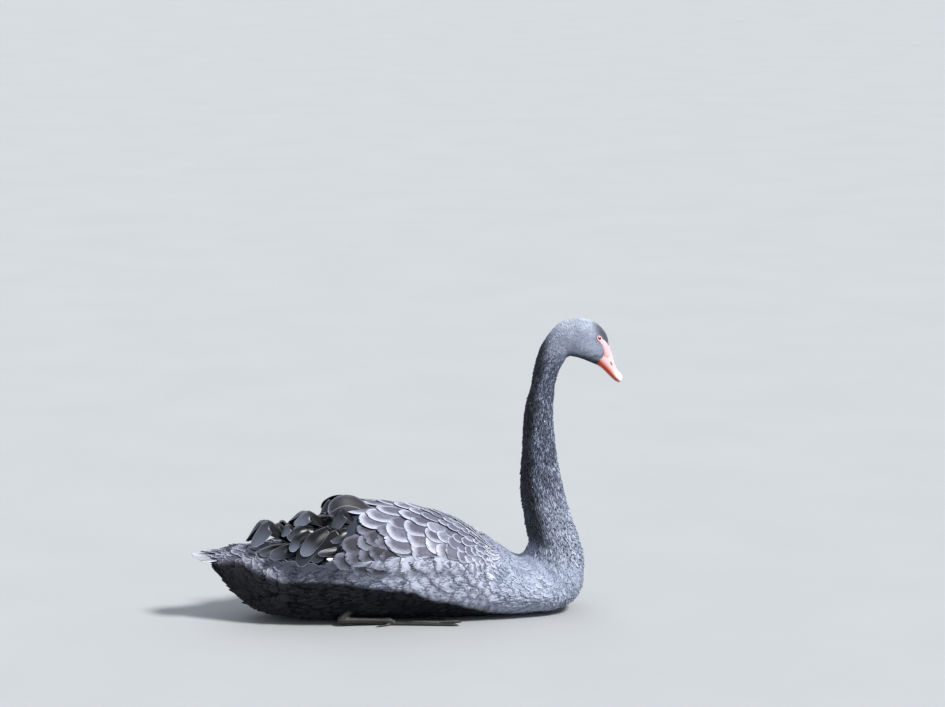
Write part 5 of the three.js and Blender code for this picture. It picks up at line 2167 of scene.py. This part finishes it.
@dataclass
class Wings:
    """The feathers of back and wings: mantle, scapulars, coverts, raised and curled feathers, quills."""

    form: WingForm
    flesh: FleshForm
    large_behind: float = 100.0
    left_drop: float = 15.0
    field: Bed = Bed(
        plan=(
            (196, 6, 11, 26, 6.5, 0.7, 0, 0.92), (168, 10, 15, 36, 10, 0.6, 0, 0.88),
            (130, 15, 23, 52, 16, 0.42, 0, 0.82), (84, 22, 35, 70, 24, 0.24, 0, 0.77),
            (30, 30, 47, 84, 30, 0.12, 0, 0.72), (-31, 34, 50, 86, 31, 0.08, 0, 0.68),
        ),
        blade=Blade(
            sink=4.5, tip=1.0, roll=0.8, cup=1.0, blunt=3.4, fray=0.02, round_from=0.42, thick=0.4,
        ),
        seed=11, curve=-4.0, fan=1.3, lean_from=0.4, turned=0.07,
    )
    shoulder: Bed = Bed(
        plan=(
            (10.6, 6, 11, 22, 6, 0.4, 0, 1.75), (9.6, 8, 13, 27, 7.5, 0.5, 0, 1.7),
            (8.6, 9, 15, 32, 9, 0.6, 0, 1.65), (7.3, 10, 16, 36, 10, 0.65, 0, 1.55),
        ),
        blade=Blade(
            sink=4.5, tip=0.8, roll=0.4, cup=0.8, blunt=2.2, fray=0.04, round_from=0.36, thick=0.4,
        ),
        seed=13, reference=0.9, uneven=0.3, turned=0.12,
    )
    coverts: Bed = Bed(
        plan=(
            (80, 24, 34, 62, 22, 0.3, 0.72, 0.84), (40, 24, 34, 64, 22, 0.3, 0.6, 0.86),
            (0, 25, 36, 66, 24, 0.26, 0.3, 0.9), (-30, 25, 36, 66, 24, 0.22, 0.3, 0.98),
            (-64, 24, 34, 60, 22, 0.3, 0.6, 0.98), (-96, 20, 32, 54, 20, 0.3, 0.76, 0.98),
        ),
        blade=Blade(sink=7, tip=-0.5, roll=0.6, cup=1.4, blunt=2.2, fray=0.05, round_from=0.4, thick=0.5),
        seed=17, uneven=0.8, turned=0.16,
    )
    # x, length and half breadth of the black coverts, the step between their rows and a column's breadth
    dark_plan: tuple[tuple[float, ...], ...] = ((-64, 54, 17), (-130, 58, 18), (-232, 52, 16))
    dark_step: float = 17.0
    dark_column: float = 30.0

    def build(self, plumage: Plumage) -> list[bpy.types.Object]:
        """Lays all feathers of the back and the wings.

        Args:
            plumage: The feather finishes.

        Returns:
            The pieces.
        """
        small, large, covert, shoulder = (
            BladeSheet(*steps) for steps in ((8, 6), (14, 14), (10, 16), (8, 10))
        )
        self.shoulder.lay(self.flesh, lambda u: shoulder)
        self.field.lay(self.form, lambda u: small if u > self.large_behind else large)
        self.coverts.lay(self.form, lambda u: covert)
        scapulars = large.build("scapular_feathers", plumage[Feathers.SCAPULAR])
        return [
            settle(shoulder.build("shoulder_feathers", plumage[Feathers.SHOULDER])),
            settle(small.build("mantle_feathers", plumage[Feathers.MANTLE])),
            settle(scapulars, ("wing_left", "wing_right")),
            settle(covert.build("wing_coverts", plumage[Feathers.COVERT])),
            self._dark_coverts(plumage),
            *self._plumes(plumage),
        ]

    @staticmethod
    def fall_at(x: Array | float) -> Array | float:
        """How far the body of the wings lies under their outline, in millimetres."""
        return 5.0 + 38.0 * smoothstep(78, 175, -x)

    def _dark_coverts(self, plumage: Plumage) -> bpy.types.Object:
        """The black coverts deep behind the scapulars, over the falling core of the wings.

        Args:
            plumage: The feather finishes.

        Returns:
            The piece.
        """
        rng = np.random.default_rng(31)
        sheet = BladeSheet(10, 8)
        x, row = self.dark_plan[0][0], 0
        table = np.asarray(self.dark_plan)
        while x > self.dark_plan[-1][0]:
            length, half = (float(np.interp(-x, -table[:, 0], table[:, n])) for n in (1, 2))
            girth = self.form.girth(x, 0.4)
            count = int(girth / self.dark_column)
            root, end = float(Wings.fall_at(x)), float(Wings.fall_at(x - 0.9 * length))
            for n in range(-count, count + 1):
                v = (n + 0.5 * (row % 2)) * self.dark_column / girth
                if abs(v) > 1.0:
                    continue
                side = 1 if v >= 0 else -1
                blade = Blade(
                    length * rng.uniform(0.9, 1.1), half, sink=root + 3, tip=3 - end + rng.normal(0, 2),
                    roll=side * 1.5, cup=2.5, rise=-0.12 * (end - root), blunt=2.4,
                )
                slant = side * 0.2 * min(1.0, abs(v) / 0.2) + rng.normal(0, 0.12)
                bake = (0.02 + 0.96 * (x + 236) / 176, 0.5 + v * 0.48)
                sheet.add(blade, self.form.laid(x, v, slant), bake, rng)
            x -= self.dark_step
            row += 1
        return settle(sheet.build("dark_coverts", plumage[Feathers.DEEP]))

    def _plumes(self, plumage: Plumage) -> list[bpy.types.Object]:
        """The raised, the curled and the hanging feathers, and the pale quills below them.

        Args:
            plumage: The feather finishes.

        Returns:
            The pieces.
        """
        pieces = []
        kinds = (
            ("raised_feathers", RAISED, Feathers.RAISED, 23),
            ("curled_feathers", CURLED, Feathers.GLOSSY, 29),
            ("pale_quills", QUILLS, Feathers.WHITE, 37),
        )
        for name, plumes, kind, seed in kinds:
            rng = np.random.default_rng(seed)
            sheet = BladeSheet(18, 14)
            for side in Side:
                drop = self.left_drop if side is Side.LEFT else 0.0
                for n, plume in enumerate(plumes):
                    blade = Blade(
                        plume.length(), plume.half, blunt=2.4, root=0.5, round_from=0.5, fray=0.012,
                        thick=0.5,
                    )
                    bake = (0.03 + 0.94 * n / len(plumes), 0.75 if side is Side.LEFT else 0.25)
                    sheet.add(blade, plume.place(drop), bake, rng, side is Side.RIGHT, plume.tone)
            pieces.append(settle(sheet.build(name, plumage[kind])))
        return pieces


RAISED = (
    Plume(((-48, 44, 210), (-102, 52, 231), (-141, 58, 218)), 25, (-50, -68), 18, 0.5),
)

# Each curled plume's tone sets how bright the painted sky reflection on its outer half is.
CURLED = (
    Plume(((-118, 16, 205), (-132, 20, 236), (-150, 22, 212)), 15, (-10, -30), 60, 0.1),
    Plume(((-138, 40, 184), (-159, 42, 208), (-181, 46, 218), (-207, 54, 194)), 23, (-10, -35), 62, 1.0),
    Plume(((-205, 40, 158), (-234, 44, 185), (-262, 50, 201), (-291, 58, 156)), 25, (-15, -40), 62, 0.9),
    Plume(((-200, 26, 160), (-225, 28, 187), (-238, 30, 194), (-253, 32, 172)), 16, (-10, -30), 60, 0.3),
    Plume(((-196, 56, 165), (-210, 60, 190), (-221, 62, 197), (-232, 66, 176)), 15, (-15, -40), 60, 0.8),
    Plume(((-78, 72, 196), (-102, 74, 216), (-118, 76, 225), (-136, 84, 188)), 21, (-15, -40), 62, 0.5),
    Plume(((-124, 86, 178), (-143, 90, 197), (-156, 94, 179)), 11, (-20, -50), 60, 1.0),
    Plume(((-144, 94, 196), (-176, 108, 176), (-199, 118, 147)), 17, (-50, -66), 34, 1.0),
    Plume(((-155, 90, 186), (-188, 106, 162), (-206, 120, 126)), 19, (-40, -64), 44, 0.0),
    Plume(((-122, 100, 188), (-157, 108, 165), (-180, 118, 134)), 19, (-70, -80), 24, 0.0),
    Plume(((-180, 80, 188), (-206, 88, 174), (-219, 96, 152)), 13, (-40, -60), 50, 1.0),
    Plume(((-92, 92, 188), (-119, 101, 185), (-141, 108, 170)), 13, (-50, -66), 34, 0.3),
    Plume(((-96, 80, 198), (-125, 90, 191), (-152, 97, 175)), 16, (-40, -60), 34, 0.1),
    Plume(((-168, 62, 190), (-198, 70, 190), (-222, 80, 172)), 16, (-30, -60), 46, 0.2),
    Plume(((-120, 8, 206), (-168, 10, 202), (-207, 12, 174)), 21, (0, -10), 50, 0.2),
    Plume(((-190, 70, 162), (-229, 82, 153), (-260, 86, 139)), 15, (-40, -64), 40, 0.3),
    Plume(((-215, 42, 155), (-251, 52, 150), (-277, 58, 141)), 15, (-30, -50), 44, 0.2),
    Plume(((-90, 104, 158), (-132, 114, 154), (-170, 120, 151)), 9, (-60, -72), 24, 0.0),
)

QUILLS = (
    Plume(((-116, 119, 140), (-134, 124, 139), (-153, 127, 142)), 3.8, (-60, -75), 24, 0.5),
)


@dataclass
class Sides:
    """The soft feathers of flanks and rump."""

    flank: FlankForm
    flesh: FleshForm
    flanks: Bed = Bed(
        plan=(
            (196, 11, 18, 36, 12, 0.3, 0.0, 0.74), (120, 13, 22, 46, 16, 0.24, 0.0, 0.76),
            (60, 15, 26, 52, 18, 0.2, 0.0, 0.78), (-60, 18, 30, 58, 20, 0.16, 0.0, 0.78),
            (-130, 18, 30, 57, 20, 0.13, 0.1, 0.76), (-246, 18, 30, 56, 20, 0.1, 0.12, 0.74),
        ),
        blade=Blade(
            sink=4.5, tip=0.8, rise=0.6, roll=0.2, cup=0.9, blunt=1.7, fray=0.09, round_from=0.3, thick=0.4,
        ),
        seed=41, uneven=0.7, turned=0.2, reference=0.3, tuck=0.2, tuck_depth=9.0, tuck_behind=-70,
        both=False,
    )
    rump: Bed = Bed(
        plan=(
            (2.6, 9, 17, 34, 11.5, 0.12, 0, 2.0), (1.2, 9, 17, 34, 11.5, 0.12, 0, 2.1),
            (0.3, 9, 15, 32, 10.5, 0.08, 0, 2.3),
        ),
        blade=Blade(sink=4.0, tip=1.8, rise=0.5, roll=0.6, cup=1.2, blunt=2.2, fray=0.05, round_from=0.42),
        seed=43, uneven=0.8, turned=0.1, reference=0.8,
    )

    def build(self, plumage: Plumage, tree: TuftTree) -> list[bpy.types.Object]:
        """Lays the feathers of flanks and rump and their loose barbs.

        Args:
            plumage: The feather finishes.
            tree: What sets the barbs.

        Returns:
            The pieces.
        """
        flank, rump, barbs = BladeSheet(10, 12), BladeSheet(9, 10), Barbs()
        self.flanks.lay(self.flank, lambda u: flank, barbs)
        self.rump.lay(self.flesh, lambda u: rump)
        roots = Roots.joined(barbs.parts)
        down = tree.grow("flank_barbs", roots, plumage[Feathers.DOWN], 81, (3, 3), 0.05, 0.1, 0.0, 0.03)
        return [
            settle(flank.build("flank_feathers", plumage[Feathers.FLANK])),
            settle(rump.build("rump_feathers", plumage[Feathers.RUMP])),
            settle(down),
        ]


@dataclass
class Tail:
    """The fan of the tail with its coverts. Millimetres."""

    pivot: float = -288.0
    root_radius: float = 50.0
    tip_radius: float = 118.0
    high: float = 133.6
    spread: float = 0.33
    quills: int = 21
    quill_half: float = 10.5
    covert_half: float = 11.5
    # how much shorter the outermost quill is, and how much lower each lies than the next one inwards
    shorter: float = 16.0
    lower_by: float = 0.55
    # radius of the roots, length, height at the roots, rise in 60 mm, and number of each tier's feathers
    upper: tuple[tuple[float, ...], ...] = (
        (42, 46, 136, -3.5, 11), (28, 48, 139.5, -3.5, 10), (12, 46, 143, -3.5, 9),
    )
    lower: tuple[tuple[float, ...], ...] = (
        (44, 44, 126, 4, 10), (30, 48, 118, 8, 10), (18, 50, 108, 13, 9), (6, 50, 96, 16, 9),
        (-8, 50, 84, 18, 9),
    )

    def _fan(self, turn: float, start: float, high: float, slope: float, under: bool) -> Place:
        """How a feather of the fan lies.

        Args:
            turn: Its direction, in radians from straight back.
            start: The radius of its root.
            high: Its height at the root.
            slope: How far it rises to its tip, for 60 mm of run.
            under: Whether it lies under the fan, with its lift downwards.

        Returns:
            A function from run, across and lift to places.
        """
        def place(run: Array, across: Array, lift: Array) -> Array:
            """Where parts of the feather lie.

            Args:
                run: Distances from the root.
                across: Distances across the shaft.
                lift: Distances off the fan.

            Returns:
                The places.
            """
            radius = start + run
            x = self.pivot - radius * math.cos(turn) - across * math.sin(turn)
            y = radius * math.sin(turn) - across * math.cos(turn)
            z = high + slope * run / 60 - 0.12 * (np.hypot(y, 14) - 14) + lift * (-1 if under else 1)
            return np.stack([x, y, z], -1)
        return place

    def build(self, plumage: Plumage) -> list[bpy.types.Object]:
        """Makes the quills, then the coverts over and under them.

        Args:
            plumage: The feather finishes.

        Returns:
            The pieces.
        """
        rng = np.random.default_rng(53)
        quills = BladeSheet(14, 10)
        middle = (self.quills - 1) / 2
        for i in range(self.quills):
            k = (i - middle) / middle
            length = self.tip_radius - self.root_radius - self.shorter * k * k + rng.normal(0, 0.8)
            blade = Blade(
                length, self.quill_half, roll=-0.6 * np.sign(k), cup=0.5, blunt=2.6, fray=0.02,
                root=0.6, round_from=0.7, thick=0.6,
            )
            high = self.high - self.lower_by * abs(i - middle)
            place = self._fan(self.spread * k, self.root_radius, high, 0, False)
            quills.add(blade, place, (0.5 + 0.45 * k, 0.5), rng)
        sheets = BladeSheet(10, 8), BladeSheet(10, 8)
        for under, (sheet, tiers) in enumerate(zip(sheets, (self.upper, self.lower))):
            for tier, (start, length, high, slope, count) in enumerate(tiers):
                for i in range(int(count)):
                    k = (i + 0.5 * (tier % 2)) / (count - 0.5) * 2 - 1
                    blade = Blade(
                        length * rng.uniform(0.92, 1.08), self.covert_half, tip=0.6,
                        roll=-0.6 * np.sign(k), cup=1.0, fray=0.05,
                    )
                    turn = self.spread * k + rng.normal(0, 0.02)
                    place = self._fan(turn, start, high, slope, bool(under))
                    sheet.add(blade, place, (0.5 + 0.45 * k, 0.12 + 0.18 * tier), rng)
        return [
            settle(quills.build("tail_quills", plumage[Feathers.TAIL]), ("tail",)),
            settle(sheets[0].build("tail_coverts", plumage[Feathers.RUMP])),
            settle(sheets[1].build("under_tail_coverts", plumage[Feathers.UNDER])),
        ]


# The small coat


@dataclass
class SmallCoat:
    """The small feathers of head, neck, breast and belly."""

    flesh: FleshForm
    wing: WingForm
    head: Head
    tree: TuftTree
    # each coat with its finish, the steps along and round a feather, and how far it arches
    coats: tuple[tuple[Coat, Feathers, tuple[int, int], float], ...] = (
        (
            Coat("face_coat", 24.6, 28.02, (1.75, 1.35), (5.4, 3.2), (1.25, 0.9), (0.9, 0.6),
                 streak=(10, 6, 0.4)),
            Feathers.HEAD, (3, 4), 0.15,
        ),
        (
            Coat("nape_coat", 21.9, 24.6, (2.3, 1.75), (8.5, 5.4), (1.5, 1.1), (1.4, 0.9),
                 streak=(10, 6, 0.4)),
            Feathers.HEAD, (3, 4), 0.15,
        ),
        (
            Coat("neck_coat_high", 17.0, 21.9, (3.2, 2.3), (14, 9), (2.0, 1.4), (2.2, 1.4), 0.15,
                 streak=(18, 3, 0.25)),
            Feathers.NECK, (3, 4), 0.2,
        ),
        (
            Coat("neck_coat_low", 12.2, 17.0, (4.2, 3.2), (17, 14), (2.8, 2.0), (2.6, 2.2), 0.18,
                 streak=(20, 4, 0.25)),
            Feathers.NECK, (3, 4), 0.2,
        ),
        (
            Coat("breast_coat_high", 9.2, 12.2, (5.6, 4.2), (20, 17), (4.2, 2.8), (3.0, 2.6), 0.08, 0.08,
                 streak=(30, 8, 0.5)),
            Feathers.SMALL, (3, 6), 0.12,
        ),
        (
            Coat("breast_coat_low", 6.0, 9.2, (7.5, 5.6), (24, 20), (5.6, 4.2), (3.4, 3.0), 0.08, 0.08,
                 streak=(30, 8, 0.5)),
            Feathers.SMALL, (3, 6), 0.12,
        ),
        (
            Coat("belly_coat", 0.0, 6.0, (10, 9), (27, 24), (7.0, 6.4), (4, 4)),
            Feathers.SMALL, (3, 8), 0.2,
        ),
    )

    # how far over the wings' widest line, behind their front and before their back no coat shows
    hidden: tuple[float, float, float] = (4.0, 34.0, 56.0)

    def covered(self, points: Array) -> Array:
        """Which places lie well under a wing.

        Args:
            points: Places in millimetres.

        Returns:
            True for each place that does.
        """
        x, front, back = points[:, 0], self.wing.plan[0][0], self.wing.plan[-1][0]
        over, behind, before = self.hidden
        _, _, wide = self.wing.slice(np.clip(x, back, front))
        return (points[:, 2] > wide + over) & (x < front - behind) & (x > back + before)

    def build(self, plumage: Plumage) -> list[bpy.types.Object]:
        """Grows the coats.

        Args:
            plumage: The feather finishes.

        Returns:
            The pieces.
        """
        pieces = []
        for number, (coat, finish, steps, arch) in enumerate(self.coats):
            rng = np.random.default_rng(61 + number)
            roots = coat.scatter(self.flesh, rng, len(self.flesh.stations) - 1)
            bare = self.head.band_mask(roots.points + roots.lie * 2.0, 0.6)
            roots = roots.kept(~(bare | self.covered(roots.points)))
            piece = self.tree.grow(coat.name, roots, plumage[finish], 71 + number, steps, arch, coat.curl)
            pieces.append(settle(piece))
        return pieces


# Feet


@dataclass
class Feet:
    """The legs and webbed feet tucked beside the belly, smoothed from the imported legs. Millimetres."""

    weld: float = 0.02
    voxel: float = 1.1

    def _finish(self) -> bpy.types.Material:
        """Grey-black scaly skin.

        Returns:
            The material.
        """
        sheet = Paint("foot_skin")
        cells = sheet.add("ShaderNodeTexVoronoi", None, {"Vector": sheet.place, "Scale": 420.0})
        slow = sheet.noise(sheet.place, 60.0, 3.0)
        colour = sheet.blend(slow, srgb(15, 15, 16), srgb(36, 35, 36))
        colour = sheet.blend(cells["Distance"].rise(0.3, 0.8) * 0.5, colour, srgb(56, 54, 54))
        return sheet.done(colour, 0.5, 1.0 - cells["Distance"], 0.6, 0.0006)

    def build(self) -> list[bpy.types.Object]:
        """Makes both feet.

        Returns:
            The pieces.
        """
        finish = self._finish()
        pieces = []
        for side in Side:
            word = side.name.lower()
            piece = bpy.data.objects.new(f"foot_{word}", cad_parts[f"leg_{word}"].data.copy())
            bpy.context.scene.collection.objects.link(piece)
            piece.modifiers.new("weld", "WELD").merge_threshold = self.weld * MM
            made_even(piece, finish, self.voxel, 3)
            pieces.append(settle(piece, (f"leg_{word}",)))
        return pieces


# Studio


@dataclass(frozen=True)
class Studio:
    """A plain pale floor, soft light and the camera. Metres and degrees."""

    camera_place: tuple[float, float, float] = (-0.9392, -6.6498, 1.6199)
    camera_turn: tuple[float, float, float] = (80.723, 0.0, -9.353)
    lens: float = 131.43
    floor_half: float = 40.0
    sky: Colour = (0.84, 0.91, 1.0, 1.0)
    sky_strength: float = 0.6
    # name, direction towards the light, strength, breadth in degrees, colour
    suns: tuple[tuple, ...] = (
        ("key", (0.5, -0.55, 0.85), 4.4, 14.0, (1.0, 0.985, 0.965)),
        ("back", (-0.2, 0.9, 0.8), 0.5, 40.0, (0.9, 0.95, 1.0)),
    )

    def build(self) -> None:
        """Sets the floor, the lights and the camera."""
        scene = bpy.context.scene
        sheet = Paint("floor_paint")
        soft = sheet.noise(sheet.place, 3.0)
        material = sheet.done(sheet.blend(soft, srgb(166, 168, 170), srgb(172, 174, 176)), 0.85, soft, 0.02)
        corners = np.array([[-1, -1, 0], [1, -1, 0], [1, 1, 0], [-1, 1, 0]], float) * self.floor_half / MM
        mesh_object("floor", corners, np.array([[0, 1, 2, 3]]), material, False)
        for name, toward, strength, angle, colour in self.suns:
            light = bpy.data.lights.new(name, "SUN")
            light.energy = strength
            light.angle = math.radians(angle)
            light.color = colour
            holder = bpy.data.objects.new(name, light)
            holder.rotation_euler = Vector(toward).to_track_quat("Z", "Y").to_euler()
            scene.collection.objects.link(holder)
        world = bpy.data.worlds.new("studio")
        world.use_nodes = True
        background = world.node_tree.nodes["Background"]
        background.inputs["Color"].default_value = self.sky
        background.inputs["Strength"].default_value = self.sky_strength
        scene.world = world
        scene.view_settings.view_transform = "Standard"
        camera = bpy.data.cameras.new("camera")
        camera.lens = self.lens
        holder = bpy.data.objects.new("camera", camera)
        holder.location = self.camera_place
        holder.rotation_euler = tuple(math.radians(angle) for angle in self.camera_turn)
        scene.collection.objects.link(holder)
        scene.camera = holder


def main() -> None:
    """Builds every piece of the bird and its studio."""
    logging.basicConfig(level=logging.INFO, format="%(name)s %(message)s")
    Studio().build()
    flesh = FleshForm()
    wing = WingForm()
    plumage = {kind: kind.value.build() for kind in Feathers}
    tree = TuftTree()
    head = Head(flesh)
    Skin(flesh, wing).build()
    head.build()
    Bill().build()
    Wings(wing, flesh).build(plumage)
    Sides(FlankForm(flesh, wing), flesh).build(plumage, tree)
    Tail().build(plumage)
    SmallCoat(flesh, wing, head, tree).build(plumage)
    Feet().build()


if __name__ == "__main__":
    main()
